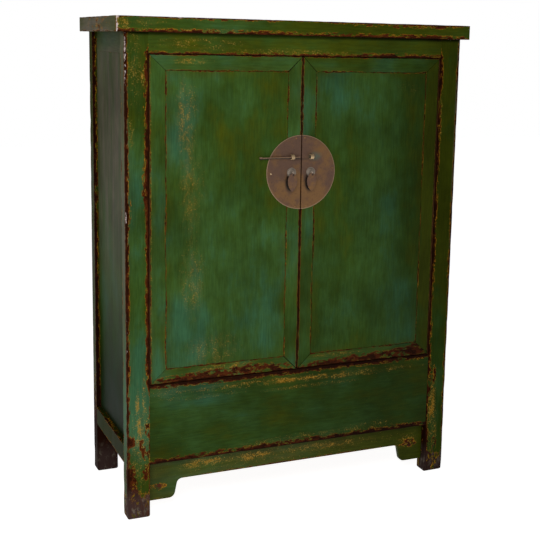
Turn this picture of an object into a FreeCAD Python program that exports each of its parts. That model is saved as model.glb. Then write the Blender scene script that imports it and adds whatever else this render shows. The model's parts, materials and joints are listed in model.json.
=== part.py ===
"""Lacquered cabinet of posts and rails with hung panelled doors, a split moon plate and a hidden compartment.

Millimetres, +Z up, origin on the floor under the middle of the cabinet. The doors face -Y.
"""
import FreeCAD, Part

import enum
import math
import os
import re

import Sketcher
from FreeCAD import Placement, Rotation, Vector

SIZES = {
    # Carcass
    "body_width": 1200,            # across the outer faces of the posts
    "body_depth": 488,             # over the front and back faces of the posts
    "body_height": 1592,           # floor to the underside of the top
    "post_width": 76,
    "post_depth": 52,
    "post_corner_round": 4,
    "top_rail_height": 66,
    "sill_top": 456,               # floor to the rail that the doors close over
    "sill_height": 48,
    "bottom_rail_bottom": 183,
    "bottom_rail_height": 65,
    "side_rail_depth": 40,
    "side_panel_recess": 15,
    "side_panel_thickness": 12,
    "back_panel_recess": 12,
    "back_panel_thickness": 12,
    "lower_board_thickness": 24,
    # Apron
    "apron_thickness": 18,
    "apron_drop": 73,              # below the bottom rail, between the brackets
    "bracket_drop": 137,           # below the bottom rail, at the legs
    "bracket_toe_width": 90,
    "bracket_throat_width": 103,
    "bracket_toe_round": 22,
    "bracket_throat_round": 18,
    # Top
    "top_thickness": 48,
    "top_overhang_side": 30,
    "top_overhang_front": 16,      # also at the back
    "top_frame_width": 90,
    "top_edge_round": 4,
    "top_panel_thickness": 16,
    "top_batten_width": 45,
    "top_batten_height": 26,
    # Joints in the timber
    "tenon_thickness": 14,
    "tenon_setback": 10,           # from a rail's outer face
    "tenon_shoulder": 8,
    "tenon_relief": 8,             # wood left between two tenons in one post
    "tongue_depth": 8,
    "post_tenon_width": 30,
    "post_tenon_depth": 20,
    "post_tenon_height": 26,
    # Doors
    "door_setback": 2,
    "door_gap": 2,                 # at the post, the sill and the top rail
    "centre_gap": 4,
    "door_thickness": 24,
    "hinge_stile_width": 53,
    "door_frame_width": 48,        # meeting stile and both rails
    "door_panel_thickness": 12,
    "panel_seam": 1,
    "door_batten_height": 40,
    "door_tenon_length": 20,
    "door_tenon_thickness": 7,
    "door_tenon_height": 20,
    "pivot_inset": 16,             # from the door's outer edge
    "pivot_depth": 12,             # behind the door's face
    "pivot_radius": 7,
    "pivot_length": 22,
    "pivot_root": 40,              # length of the pivot inside the stile
    "pivot_clearance": 0.08,
    "pivot_end_gap": 0.3,
    "stop_height": 10,
    "stop_gap": 0.5,
    "stop_relief": 45,             # left free beside each post for the turning stile
    # Inside
    "floor_board_thickness": 16,
    "floor_board_gap": 1.5,
    "finger_hole_radius": 13,
    "finger_hole_inset": 70,
    "bearer_width": 24,
    "bearer_height": 36,
    "shelf_top": 1000,
    "shelf_thickness": 18,
    "bottom_board_thickness": 14,
    "bottom_board_rise": 20,       # above the underside of the bottom rails
    # Moon plate
    "plate_radius": 125,
    "plate_height": 1142,          # floor to the centre of the plate
    "plate_thickness": 1.6,
    # Pulls
    "boss_offset": 35,             # from the middle of the cabinet
    "boss_radius": 16.5,
    "boss_shoulder_radius": 11,
    "boss_height": 4.2,
    "ring_radius": 4.2,
    "ring_wire_radius": 1.2,
    "shank_half_width": 1.6,
    "shank_clinch": 10,
    "pull_half_width": 17,
    "pull_head": 4.2,              # from the eye up to the tip of the head
    "pull_shoulder": 24,           # from the eye down to the widest place
    "pull_length": 60,             # from the eye down to the tip
    "pull_thickness": 2,
    "pull_eye_clearance": 0.4,
    # Lock pin and staples
    "pin_radius": 3,
    "pin_length": 146,
    "pin_head_radius": 4.6,
    "pin_head_length": 7,
    "pin_rise": 50,                # above the centre of the plate
    "pin_standoff": 8,             # from the door's face to the middle of the pin
    "pin_tip_gap": 4,              # from the drawn pin's tip to the edge of its door
    "staple_offset": 35,
    "staple_width": 12,
    "staple_strip": 2.6,
    "staple_inner_radius": 6,
    "staple_clearance": 0.9,
    "staple_clinch": 8,
}

# Places worked out from the sizes; distances forward of or beside the middle planes are positive
PLACES = {
    "half_width": "body_width / 2",
    "half_depth": "body_depth / 2",
    "opening_half": "half_width - post_width",
    "inner_half": "half_depth - post_depth",
    "top_rail_bottom": "body_height - top_rail_height",
    "sill_bottom": "sill_top - sill_height",
    "bottom_rail_top": "bottom_rail_bottom + bottom_rail_height",
    "side_panel_outer": "half_width - side_panel_recess",
    "side_panel_inner": "side_panel_outer - side_panel_thickness",
    "back_panel_outer": "half_depth - back_panel_recess",
    "back_panel_inner": "back_panel_outer - back_panel_thickness",
    "lower_board_back": "half_depth - lower_board_thickness",
    "apron_back": "lower_board_back - apron_thickness",
    "front_tenon": "post_width - side_rail_depth",
    "side_tenon": "post_depth - tenon_setback - tenon_thickness - tenon_relief",
    "top_half_width": "half_width + top_overhang_side",
    "top_half_depth": "half_depth + top_overhang_front",
    "top_inner_width": "top_half_width - top_frame_width",
    "top_inner_depth": "top_half_depth - top_frame_width",
    "top_surface": "body_height + top_thickness",
    "top_panel_bottom": "top_surface - top_panel_thickness",
    "door_outer": "opening_half - door_gap",
    "door_inner": "centre_gap / 2",
    "door_bottom": "sill_top + door_gap",
    "door_top": "top_rail_bottom - door_gap",
    "door_face": "half_depth - door_setback",
    "door_back": "door_face - door_thickness",
    "hinge_stile_edge": "door_outer - hinge_stile_width",
    "meeting_stile_edge": "door_inner + door_frame_width",
    "pivot_x": "door_outer - pivot_inset",
    "pivot_y": "door_face - pivot_depth",
    "edge_curve": "pivot_inset - sqrt(pivot_inset ^ 2 - pivot_depth ^ 2)",
    "stop_face": "door_back - stop_gap",
    "floor_bottom": "sill_top - floor_board_thickness",
    "shelf_bottom": "shelf_top - shelf_thickness",
    "bottom_board_bottom": "bottom_rail_bottom + bottom_board_rise",
    "plate_face": "door_face + plate_thickness",
    "ring_y": "plate_face + boss_height + ring_radius + ring_wire_radius",
    "eye_z": "plate_height - ring_radius",
    "eye_radius": "ring_wire_radius + pull_eye_clearance",
    "pin_z": "plate_height + pin_rise",
    "pin_y": "door_face + pin_standoff",
    "staple_z": "pin_z + staple_inner_radius - pin_radius - staple_clearance",
    "staple_outer_radius": "staple_inner_radius + staple_strip",
}

# Heights of the battens up a door panel, and places of the battens across the top
DOOR_BATTEN_SHARES = (0.22, 0.5, 0.78)
TOP_BATTEN_SHARES = (-0.36, 0.36)
# A tongue takes the middle of its panel, this share of the thickness in from either face
TONGUE_INSET_SHARE = 0.25

LEFT, RIGHT = -1, 1
FRONT, BACK = -1, 1
SIDES = {"left": LEFT, "right": RIGHT}
ROWS = {"front": FRONT, "back": BACK}
AXES = ("x", "y", "z")
STRAIGHT = 1e-6


class SketchPoint(enum.IntEnum):
    """How a sketch numbers its origin and the points of a line or an arc."""
    ORIGIN = -1
    START = 1
    END = 2
    CENTRE = 3


DOC = FreeCAD.newDocument("accent_cabinet")
SHEET = DOC.addObject("Spreadsheet::Sheet", "Sizes")
for row, (alias, size) in enumerate(SIZES.items(), start=1):
    SHEET.set(f"A{row}", alias)
    SHEET.set(f"B{row}", str(size))
    SHEET.setAlias(f"B{row}", alias)
DOC.recompute()

BLANKS = {}
HOUSINGS = {}


# Expressions

def bound(text):
    """The expression with its names turned into sheet cells, and its places into their own expressions."""
    def spelled_out(match):
        word = match.group(0)
        if word in PLACES:
            return f"({bound(PLACES[word])})"
        return f"Sizes.{word}" if word in SIZES else word
    return re.sub(r"[a-z][a-z_]*", spelled_out, str(text))


def value(text):
    return float(SHEET.evalExpression(bound(text)))


def span(sign, near, far):
    """The low and high ends of a stretch that lies near..far from a middle plane, on the side of the sign."""
    return (near, far) if sign > 0 else (f"-({far})", f"-({near})")


def both(far):
    return f"-({far})", far


def place(shape, x=0, y=0, z=0):
    for axis, text in zip(AXES, (x, y, z)):
        shape.setExpression(f"Placement.Base.{axis}", bound(text))
    return shape


# Primitives and booleans

def box(name, x, y, z):
    block = DOC.addObject("Part::Box", name)
    for side, (low, high) in zip(("Length", "Width", "Height"), (x, y, z)):
        block.setExpression(side, bound(f"({high}) - ({low})"))
    return place(block, x[0], y[0], z[0])


def rod(name, radius, length, x, y, z, along=Vector(0, 0, 1)):
    cylinder = DOC.addObject("Part::Cylinder", name)
    cylinder.setExpression("Radius", bound(radius))
    cylinder.setExpression("Height", bound(length))
    cylinder.Placement = Placement(Vector(), Rotation(Vector(0, 0, 1), along))
    return place(cylinder, x, y, z)


def fuse(name, *shapes):
    joined = DOC.addObject("Part::MultiFuse", name)
    joined.Shapes = list(shapes)
    joined.Refine = True
    return joined


def cut(name, base, tools):
    result = DOC.addObject("Part::Cut", name)
    result.Base = base
    result.Tool = tools[0] if len(tools) == 1 else fuse(f"{name}_housings", *tools)
    result.Refine = True
    return result


def common(name, first, second):
    shared = DOC.addObject("Part::MultiCommon", name)
    shared.Shapes = [first, second]
    shared.Refine = True
    return shared


def piece(name, shape):
    """Keep a shape as a piece; what other pieces are let into it is cut away at the end."""
    BLANKS[name] = shape
    return shape


def let_into(shape, *names):
    for name in names:
        HOUSINGS.setdefault(name, []).append(shape)
    return shape


# Sketched bodies

def plane_of(body, role):
    return next(feature for feature in body.Origin.OriginFeatures if feature.Role == role)


def arc_through(first, last, centre_v):
    """The shorter arc between two corners whose centre lies at the height centre_v."""
    (first_u, first_v), (last_u, last_v) = first, last
    rise = (first_v - centre_v) ** 2 - (last_v - centre_v) ** 2
    centre_u = (first_u ** 2 - last_u ** 2 + rise) / (2 * (first_u - last_u))
    radius = math.hypot(first_u - centre_u, first_v - centre_v)
    start = math.atan2(first_v - centre_v, first_u - centre_u)
    end = math.atan2(last_v - centre_v, last_u - centre_u)
    if (end - start) % math.tau > math.pi:
        start, end = end, start
    circle = Part.Circle(Vector(centre_u, centre_v, 0), Vector(0, 0, 1), radius)
    return Part.ArcOfCircle(circle, start, end)


def fix(sketch, geometry, point, axis, text):
    """Hold one coordinate of a sketch point at an expression."""
    origin = int(SketchPoint.ORIGIN), int(SketchPoint.START)
    held = Sketcher.Constraint(f"Distance{axis}", *origin, geometry, int(point), value(text))
    number = sketch.addConstraint(held)
    sketch.setExpression(f"Constraints[{number}]", bound(text))


def outline(body, role, corners, arcs=None):
    """A closed sketch through the corners; arcs gives the centre height of each stretch that is round."""
    arcs = arcs or {}
    sketch = body.newObject("Sketcher::SketchObject", f"{body.Name}_outline")
    sketch.AttachmentSupport = (plane_of(body, role), [""])
    sketch.MapMode = "FlatFace"
    points = [(value(u), value(v)) for u, v in corners]
    ends = []
    for index, first in enumerate(points):
        last = points[(index + 1) % len(points)]
        if index in arcs:
            sketch.addGeometry(arc_through(first, last, value(arcs[index])))
        else:
            sketch.addGeometry(Part.LineSegment(Vector(*first, 0), Vector(*last, 0)))
        begins = sketch.getPoint(index, int(SketchPoint.START)).isEqual(Vector(*first, 0), STRAIGHT)
        start_end = int(SketchPoint.START), int(SketchPoint.END)
        ends.append(start_end if begins else start_end[::-1])
    for index, (u, v) in enumerate(corners):
        after = (index + 1) % len(corners)
        sketch.addConstraint(Sketcher.Constraint("Coincident", index, ends[index][1], after, ends[after][0]))
        fix(sketch, index, ends[index][0], "X", u)
        fix(sketch, index, ends[index][0], "Y", v)
    for index, centre in arcs.items():
        fix(sketch, index, SketchPoint.CENTRE, "Y", centre)
    return sketch


def padded(name, role, corners, thickness, arcs=None, forward=False):
    """A body padded from an outline; in the XZ plane it grows towards +Y unless it goes forward."""
    body = DOC.addObject("PartDesign::Body", name)
    pad = body.newObject("PartDesign::Pad", f"{name}_pad")
    pad.Profile = outline(body, role, corners, arcs)
    pad.setExpression("Length", bound(thickness))
    pad.Reversed = role == "XZ_Plane" and not forward
    return body


def revolved(name, role, corners, arcs, axis):
    body = DOC.addObject("PartDesign::Body", name)
    sketch = outline(body, role, corners, arcs)
    turned = body.newObject("PartDesign::Revolution", f"{name}_turned")
    turned.Profile = sketch
    turned.ReferenceAxis = (sketch, [axis])
    return body


def rounded(body, radius, wanted):
    """Round the edges of the body that pass the test."""
    DOC.recompute()
    base = body.Tip
    names = [f"Edge{number}" for number, edge in enumerate(base.Shape.Edges, start=1) if wanted(edge)]
    fillet = body.newObject("PartDesign::Fillet", f"{body.Name}_round{len(body.Group)}")
    fillet.Base = (base, names)
    fillet.setExpression("Radius", bound(radius))
    body.Tip = fillet
    return body


def runs_along(edge, axis):
    return abs(edge.tangentAt(edge.FirstParameter).dot(axis)) > 1 - STRAIGHT


def tongued(name, x, y, z, thin, edges, into):
    """A panel with tongues on its edges, each as wide as the panel and housed in the pieces around it."""
    ranges = dict(zip(AXES, (x, y, z)))
    low, high = ranges[thin]
    inset = f"(({high}) - ({low})) * {TONGUE_INSET_SHARE}"
    shapes = [box(f"{name}_board", x, y, z)]
    for edge in edges:
        axis = edge[-1]
        low_end, high_end = ranges[axis]
        reach = {thin: (f"({low}) + {inset}", f"({high}) - {inset}")}
        reach[axis] = (
            low_end if edge.startswith("+") else f"({low_end}) - tongue_depth",
            high_end if edge.startswith("-") else f"({high_end}) + tongue_depth",
        )
        tongue = box(f"{name}_tongue_{axis}", *(reach.get(key, ranges[key]) for key in AXES))
        shapes.append(let_into(tongue, *into))
    return piece(name, fuse(f"{name}_tongued", *shapes))


# Carcass

def make_posts():
    for row, row_sign in ROWS.items():
        for side, side_sign in SIDES.items():
            name = f"{row}_{side}_post"
            x_low, x_high = span(side_sign, "opening_half", "half_width")
            y_low, y_high = span(row_sign, "inner_half", "half_depth")
            corners = [(x_low, y_low), (x_high, y_low), (x_high, y_high), (x_low, y_high)]
            shaft = padded(f"{name}_shaft", "XY_Plane", corners, "body_height")
            outward = Vector(side_sign, row_sign, 0)
            corner = Vector(side_sign * value("half_width"), row_sign * value("half_depth"), 0)

            def outer_corner(edge, outward=outward, corner=corner):
                upright = runs_along(edge, Vector(0, 0, 1))
                return upright and (edge.CenterOfMass - corner).dot(outward) > -STRAIGHT

            rounded(shaft, "post_corner_round", outer_corner)
            middle_x = f"{side_sign} * (opening_half + post_width / 2)"
            middle_y = f"{row_sign} * (inner_half + post_depth / 2)"
            tenon = box(
                f"{name}_tenon",
                (f"{middle_x} - post_tenon_width / 2", f"{middle_x} + post_tenon_width / 2"),
                (f"{middle_y} - post_tenon_depth / 2", f"{middle_y} + post_tenon_depth / 2"),
                ("body_height", "body_height + post_tenon_height"),
            )
            let_into(tenon, f"top_{row}_member")
            piece(name, fuse(f"{name}_tenoned", shaft, tenon))


def cross_rail(name, row, near, far, z, extra=()):
    """A rail between two posts, tenoned into both, with its outer face at the distance far."""
    low, high = z
    y = span(ROWS[row], near, far)
    inset_y = span(ROWS[row], f"{far} - tenon_setback - tenon_thickness", f"{far} - tenon_setback")
    inset_z = (f"{low} + tenon_shoulder", f"{high} - tenon_shoulder")
    shapes = [box(f"{name}_bar", both("opening_half"), y, z), *extra]
    for side, sign in SIDES.items():
        x = span(sign, "opening_half", "opening_half + front_tenon")
        shapes.append(let_into(box(f"{name}_{side}_tenon", x, inset_y, inset_z), f"{row}_{side}_post"))
    piece(name, fuse(f"{name}_tenoned", *shapes))


def side_rail(name, side, outer, z):
    """A rail from the front post to the back post of one side, tenoned into both."""
    low, high = z
    sign = SIDES[side]
    inset = "(side_rail_depth - tenon_thickness) / 2"
    inset_x = span(sign, f"{outer} - side_rail_depth + {inset}", f"{outer} - {inset}")
    inset_z = (f"{low} + tenon_shoulder", f"{high} - tenon_shoulder")
    shapes = [box(f"{name}_bar", span(sign, f"{outer} - side_rail_depth", outer), both("inner_half"), z)]
    for row, row_sign in ROWS.items():
        y = span(row_sign, "inner_half", "inner_half + side_tenon")
        shapes.append(let_into(box(f"{name}_{row}_tenon", inset_x, y, inset_z), f"{row}_{side}_post"))
    piece(name, fuse(f"{name}_tenoned", *shapes))


def make_rails():
    top = ("top_rail_bottom", "body_height")
    sill = ("sill_bottom", "sill_top")
    bottom = ("bottom_rail_bottom", "bottom_rail_top")
    stop_x = both("opening_half - stop_relief")
    stop_y = span(FRONT, "inner_half", "stop_face")
    top_stop = box("top_stop", stop_x, stop_y, ("top_rail_bottom - stop_height", "top_rail_bottom"))
    sill_stop = box("sill_stop", stop_x, stop_y, ("sill_top", "sill_top + stop_height"))
    cross_rail("front_top_rail", "front", "inner_half", "half_depth", top, [top_stop])
    cross_rail("sill_rail", "front", "inner_half", "half_depth", sill, [sill_stop])
    cross_rail("front_bottom_rail", "front", "inner_half", "lower_board_back", bottom)
    cross_rail("back_top_rail", "back", "inner_half", "half_depth", top)
    cross_rail("back_bottom_rail", "back", "inner_half", "half_depth", bottom)
    for side in SIDES:
        side_rail(f"{side}_top_rail", side, "side_panel_outer", top)
        side_rail(f"{side}_bottom_rail", side, "half_width", bottom)


def make_carcass_panels():
    upright = ("bottom_rail_top", "top_rail_bottom")
    for side, sign in SIDES.items():
        around = [f"front_{side}_post", f"back_{side}_post", f"{side}_top_rail", f"{side}_bottom_rail"]
        thickness = span(sign, "side_panel_inner", "side_panel_outer")
        tongued(f"{side}_side_panel", thickness, both("inner_half"), upright, "x", ("y", "z"), around)
    tongued(
        "back_panel", both("opening_half"), span(BACK, "back_panel_inner", "back_panel_outer"), upright,
        "y", ("x", "z"), ["back_left_post", "back_right_post", "back_top_rail", "back_bottom_rail"],
    )
    tongued(
        "lower_front_board", both("opening_half"), span(FRONT, "lower_board_back", "half_depth"),
        ("bottom_rail_bottom", "sill_bottom"),
        "y", ("x", "+z"), ["front_left_post", "front_right_post", "sill_rail"],
    )
    rails = [f"{where}_bottom_rail" for where in ("front", "back", "left", "right")]
    posts = [f"{row}_{side}_post" for row in ROWS for side in SIDES]
    tongued(
        "bottom_board", both("half_width - side_rail_depth"), both("inner_half"),
        ("bottom_board_bottom", "bottom_board_bottom + bottom_board_thickness"),
        "z", ("x", "y"), rails + posts,
    )


def make_apron():
    toe, throat = "opening_half - bracket_toe_width", "opening_half - bracket_throat_width"
    top, middle, low = (
        "bottom_rail_bottom", "bottom_rail_bottom - apron_drop", "bottom_rail_bottom - bracket_drop",
    )
    corners = [
        (f"-({toe})", low), (f"-({throat})", middle), (throat, middle), (toe, low),
        ("opening_half", low), ("opening_half", top), ("-(opening_half)", top), ("-(opening_half)", low),
    ]
    board = padded("apron_board", "XZ_Plane", corners, "apron_thickness")
    place(board, y="-(lower_board_back)")
    for radius, half, height in (("bracket_toe_round", toe, low), ("bracket_throat_round", throat, middle)):
        places = [Vector(sign * value(half), 0, value(height)) for sign in (LEFT, RIGHT)]

        def at_bracket(edge, places=places):
            across = runs_along(edge, Vector(0, 1, 0))
            spot = Vector(edge.CenterOfMass.x, 0, edge.CenterOfMass.z)
            return across and any(spot.isEqual(wanted, STRAIGHT) for wanted in places)

        rounded(board, radius, at_bracket)
    inset = f"apron_thickness * {TONGUE_INSET_SHARE}"
    y = span(FRONT, f"apron_back + {inset}", f"lower_board_back - {inset}")
    tongues = [box("apron_top_tongue", both("opening_half"), y, (top, f"{top} + tongue_depth"))]
    let_into(tongues[0], "front_bottom_rail")
    for side, sign in SIDES.items():
        x = span(sign, "opening_half", "opening_half + tongue_depth")
        tongues.append(let_into(box(f"apron_{side}_tongue", x, y, (low, top)), f"front_{side}_post"))
    piece("front_apron", fuse("apron_tongued", board, *tongues))


# Top

def make_top():
    long_side, short_side = "top_half_width", "top_half_depth"
    inner_long, inner_short = "top_inner_width", "top_inner_depth"
    members = {
        "front": [(f"-({long_side})", f"-({short_side})"), (long_side, f"-({short_side})"),
                  (inner_long, f"-({inner_short})"), (f"-({inner_long})", f"-({inner_short})")],
        "back": [(f"-({inner_long})", inner_short), (inner_long, inner_short),
                 (long_side, short_side), (f"-({long_side})", short_side)],
        "left": [(f"-({long_side})", f"-({short_side})"), (f"-({inner_long})", f"-({inner_short})"),
                 (f"-({inner_long})", inner_short), (f"-({long_side})", short_side)],
        "right": [(inner_long, f"-({inner_short})"), (long_side, f"-({short_side})"),
                  (long_side, short_side), (inner_long, inner_short)],
    }
    outwards = {
        "front": Vector(0, FRONT, 0), "back": Vector(0, BACK, 0),
        "left": Vector(LEFT, 0, 0), "right": Vector(RIGHT, 0, 0),
    }
    for where, corners in members.items():
        outward = outwards[where]
        reach = value(short_side if where in ROWS else long_side)
        body = place(padded(f"top_{where}_bar", "XY_Plane", corners, "top_thickness"), z="body_height")

        def outer_edge(edge, outward=outward, reach=reach):
            level = not runs_along(edge, Vector(0, 0, 1))
            return level and edge.CenterOfMass.dot(outward) > reach - STRAIGHT

        piece(f"top_{where}_member", rounded(body, "top_edge_round", outer_edge))
    around = [f"top_{where}_member" for where in members]
    tongued(
        "top_panel", both(inner_long), both(inner_short), ("top_panel_bottom", "top_surface"),
        "z", ("x", "y"), around,
    )
    battens = []
    for number, share in enumerate(TOP_BATTEN_SHARES, start=1):
        middle = f"top_half_width * {share}"
        x = (f"{middle} - top_batten_width / 2", f"{middle} + top_batten_width / 2")
        z = ("top_panel_bottom - top_batten_height", "top_panel_bottom")
        tenon = box(f"top_batten_{number}", x, both(f"{inner_short} + tongue_depth"), z)
        battens.append(let_into(tenon, "top_front_member", "top_back_member"))
    piece("top_battens", fuse("top_batten_pair", *battens))


# Inside

def make_inside():
    bearer_x = ("side_panel_inner - bearer_width", "side_panel_inner")
    heights = {"floor": "floor_bottom", "shelf": "shelf_bottom"}
    tops = {"floor": "sill_top", "shelf": "shelf_top"}
    for level, under in heights.items():
        z = (f"{under} - bearer_height", under)
        pair = [
            box(f"{level}_{side}_bearer", span(sign, *bearer_x), both("inner_half"), z)
            for side, sign in SIDES.items()
        ]
        piece(f"{level}_side_bearers", fuse(f"{level}_bearer_pair", *pair))
        y = span(BACK, "inner_half", "back_panel_inner")
        piece(f"{level}_back_bearer", box(f"{level}_back_bar", both("opening_half"), y, (z[0], tops[level])))
    middle = box(
        "middle_bearer_bar", both("bearer_width / 2"), both("inner_half + tongue_depth"),
        ("floor_bottom - bearer_height", "floor_bottom"),
    )
    piece("floor_middle_bearer", let_into(middle, "sill_rail", "floor_back_bearer"))
    board = box("shelf_board", both("side_panel_inner"), both("inner_half"), ("shelf_bottom", "shelf_top"))
    piece("shelf", board)
    for side, sign in SIDES.items():
        x = span(sign, "floor_board_gap / 2", "side_panel_inner - floor_board_gap")
        board = box(
            f"{side}_floor_blank", x, both("inner_half - floor_board_gap"), ("floor_bottom", "sill_top"),
        )
        hole = rod(
            f"{side}_finger_hole", "finger_hole_radius", "floor_board_thickness",
            f"{sign} * side_panel_inner / 2", "-(inner_half - finger_hole_inset)", "floor_bottom",
        )
        let_into(hole, f"{side}_floor_board")
        piece(f"{side}_floor_board", board)


# Doors

def make_door(side):
    sign = SIDES[side]

    def at(distance):
        return f"{sign} * ({distance})"

    def face_shape(name, corners):
        body = padded(name, "XZ_Plane", [(at(x), z) for x, z in corners], "door_thickness")
        return place(body, y="-(door_face)")

    slab = padded(
        f"{side}_door_slab", "XY_Plane",
        [(at("door_inner"), "-(door_face)"), (at("door_outer - edge_curve"), "-(door_face)"),
         (at("door_outer"), "-(pivot_y)"), (at("door_outer"), "-(door_back)"),
         (at("door_inner"), "-(door_back)")],
        "door_top - door_bottom", arcs={1: "-(pivot_y)"},
    )
    place(slab, z="door_bottom")

    # The frame is mitred, so each member is a long trapezium of the door
    low, high = "door_bottom", "door_top"
    rail_low, rail_high = f"{low} + door_frame_width", f"{high} - door_frame_width"
    trapeziums = {
        "hinge_stile": [("door_outer", low), ("door_outer", high),
                        ("hinge_stile_edge", rail_high), ("hinge_stile_edge", rail_low)],
        "meeting_stile": [("door_inner", low), ("meeting_stile_edge", rail_low),
                          ("meeting_stile_edge", rail_high), ("door_inner", high)],
        "top_rail": [("door_inner", high), ("meeting_stile_edge", rail_high),
                     ("hinge_stile_edge", rail_high), ("door_outer", high)],
        "bottom_rail": [("door_inner", low), ("door_outer", low),
                        ("hinge_stile_edge", rail_low), ("meeting_stile_edge", rail_low)],
    }
    members = {
        part: common(f"{side}_{part}_mitred", slab, face_shape(f"{side}_{part}_face", corners))
        for part, corners in trapeziums.items()
    }

    # Pivots run on from the hinge stile through the tips of the rails
    pivots = []
    ends = {"top": ("door_top - pivot_root", "top_rail", "front_top_rail", "door_top"),
            "bottom": ("door_bottom - pivot_length", "bottom_rail", "sill_rail",
                       "door_bottom - door_gap - pivot_length - pivot_end_gap")}
    for end, (start, rail, carcass_rail, socket_start) in ends.items():
        pivot = rod(
            f"{side}_{end}_pivot", "pivot_radius", "pivot_length + pivot_root",
            at("pivot_x"), "-(pivot_y)", start,
        )
        pivots.append(let_into(pivot, f"{side}_door_{rail}"))
        socket = rod(
            f"{side}_{end}_socket", "pivot_radius + pivot_clearance",
            "pivot_length + pivot_end_gap + door_gap", at("pivot_x"), "-(pivot_y)", socket_start,
        )
        let_into(socket, carcass_rail)

    # Stub tenons of the rails, in the middle of the stiles' thickness
    tenon_y = span(FRONT, "door_back + (door_thickness - door_tenon_thickness) / 2",
                   "door_face - (door_thickness - door_tenon_thickness) / 2")
    for rail, rail_z in (("top_rail", rail_high), ("bottom_rail", rail_low)):
        z = (rail_z, f"{rail_z} + door_tenon_height") if rail == "top_rail" else (
            f"{rail_z} - door_tenon_height", rail_z)
        reaches = {
            "hinge_stile": ("hinge_stile_edge", "hinge_stile_edge + door_tenon_length"),
            "meeting_stile": ("meeting_stile_edge - door_tenon_length", "meeting_stile_edge"),
        }
        tenons = [
            let_into(box(f"{side}_{rail}_{stile}_tenon", span(sign, *x), tenon_y, z), f"{side}_door_{stile}")
            for stile, x in reaches.items()
        ]
        members[rail] = fuse(f"{side}_{rail}_tenoned", members[rail], *tenons)
    members["hinge_stile"] = fuse(f"{side}_hinge_stile_pivoted", members["hinge_stile"], *pivots)
    for part, shape in members.items():
        piece(f"{side}_door_{part}", shape)

    # Panel flush with the frame, with a fine seam all round, and battens across its back
    seam_x = span(sign, "meeting_stile_edge + panel_seam", "hinge_stile_edge - panel_seam")
    seam_z = (f"{rail_low} + panel_seam", f"{rail_high} - panel_seam")
    tongued(
        f"{side}_door_panel", seam_x, span(FRONT, "door_face - door_panel_thickness", "door_face"), seam_z,
        "y", ("x", "z"), [f"{side}_door_{part}" for part in members],
    )
    batten_x = span(sign, "meeting_stile_edge", "hinge_stile_edge")
    batten_y = span(FRONT, "door_back", "door_face - door_panel_thickness")
    battens = []
    for number, share in enumerate(DOOR_BATTEN_SHARES, start=1):
        middle = f"door_bottom + (door_top - door_bottom) * {share}"
        z = (f"{middle} - door_batten_height / 2", f"{middle} + door_batten_height / 2")
        battens.append(box(f"{side}_batten_{number}", batten_x, batten_y, z))
    piece(f"{side}_door_battens", fuse(f"{side}_batten_set", *battens))


# Metalwork

def make_moon_plate(side):
    sign = SIDES[side]
    half_chord = "sqrt(plate_radius ^ 2 - door_inner ^ 2)"
    corners = [(f"{sign} * door_inner", f"-({half_chord})"), (f"{sign} * plate_radius", "0"),
               (f"{sign} * door_inner", half_chord)]
    half = padded(
        f"{side}_plate_half", "XZ_Plane", corners, "plate_thickness", arcs={0: "0", 1: "0"}, forward=True,
    )
    piece(f"{side}_moon_plate", place(half, y="-(door_face)", z="plate_height"))


def make_pull(side):
    """A bevelled boss, a ring on a clinched shank and a hanging leaf with an eye that turns on the ring."""
    sign = SIDES[side]
    middle = f"{sign} * boss_offset"
    stile, plate = f"{side}_door_meeting_stile", f"{side}_moon_plate"
    dome = revolved(
        f"{side}_boss_dome", "YZ_Plane",
        [("0", "0"), ("0", "boss_radius"),
         ("-(boss_height)", "boss_shoulder_radius"), ("-(boss_height)", "0")],
        {}, "H_Axis",
    )
    piece(f"{side}_pull_boss", place(dome, middle, "-(plate_face)", "plate_height"))

    # The ring is bent from square bar set on edge, and so is its shank
    ring = revolved(
        f"{side}_ring", "XZ_Plane",
        [("ring_wire_radius", "ring_radius"), ("0", "ring_radius + ring_wire_radius"),
         ("-(ring_wire_radius)", "ring_radius"), ("0", "ring_radius - ring_wire_radius")],
        {}, "H_Axis",
    )
    place(ring, middle, "-(ring_y)", "plate_height")
    across = (f"{middle} - shank_half_width", f"{middle} + shank_half_width")
    behind = "-(door_back - 2 * shank_half_width)"
    shank = box(
        f"{side}_shank", across, ("-(ring_y - ring_radius)", behind),
        ("plate_height - shank_half_width", "plate_height + shank_half_width"),
    )
    clinch = box(
        f"{side}_clinch", across, ("-(door_back)", behind),
        ("plate_height - shank_half_width", "plate_height + shank_clinch"),
    )
    eye = piece(f"{side}_pull_ring", fuse(f"{side}_ring_shank", ring, shank, clinch))
    let_into(eye, f"{side}_pull_boss", plate, stile)

    shoulder = "-(pull_shoulder)"
    leaf = padded(
        f"{side}_leaf", "XZ_Plane",
        [("0", "pull_head"), ("-(pull_half_width)", shoulder),
         ("0", "-(pull_length)"), ("pull_half_width", shoulder)],
        "pull_thickness", arcs={index: shoulder for index in range(4)},
    )
    place(leaf, middle, "-(ring_y + pull_thickness / 2)", "eye_z")
    hole = rod(
        f"{side}_eye_hole", "eye_radius", "pull_thickness",
        middle, "-(ring_y + pull_thickness / 2)", "eye_z", Vector(0, 1, 0),
    )
    let_into(hole, f"{side}_pull")
    piece(f"{side}_pull", leaf)


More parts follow.
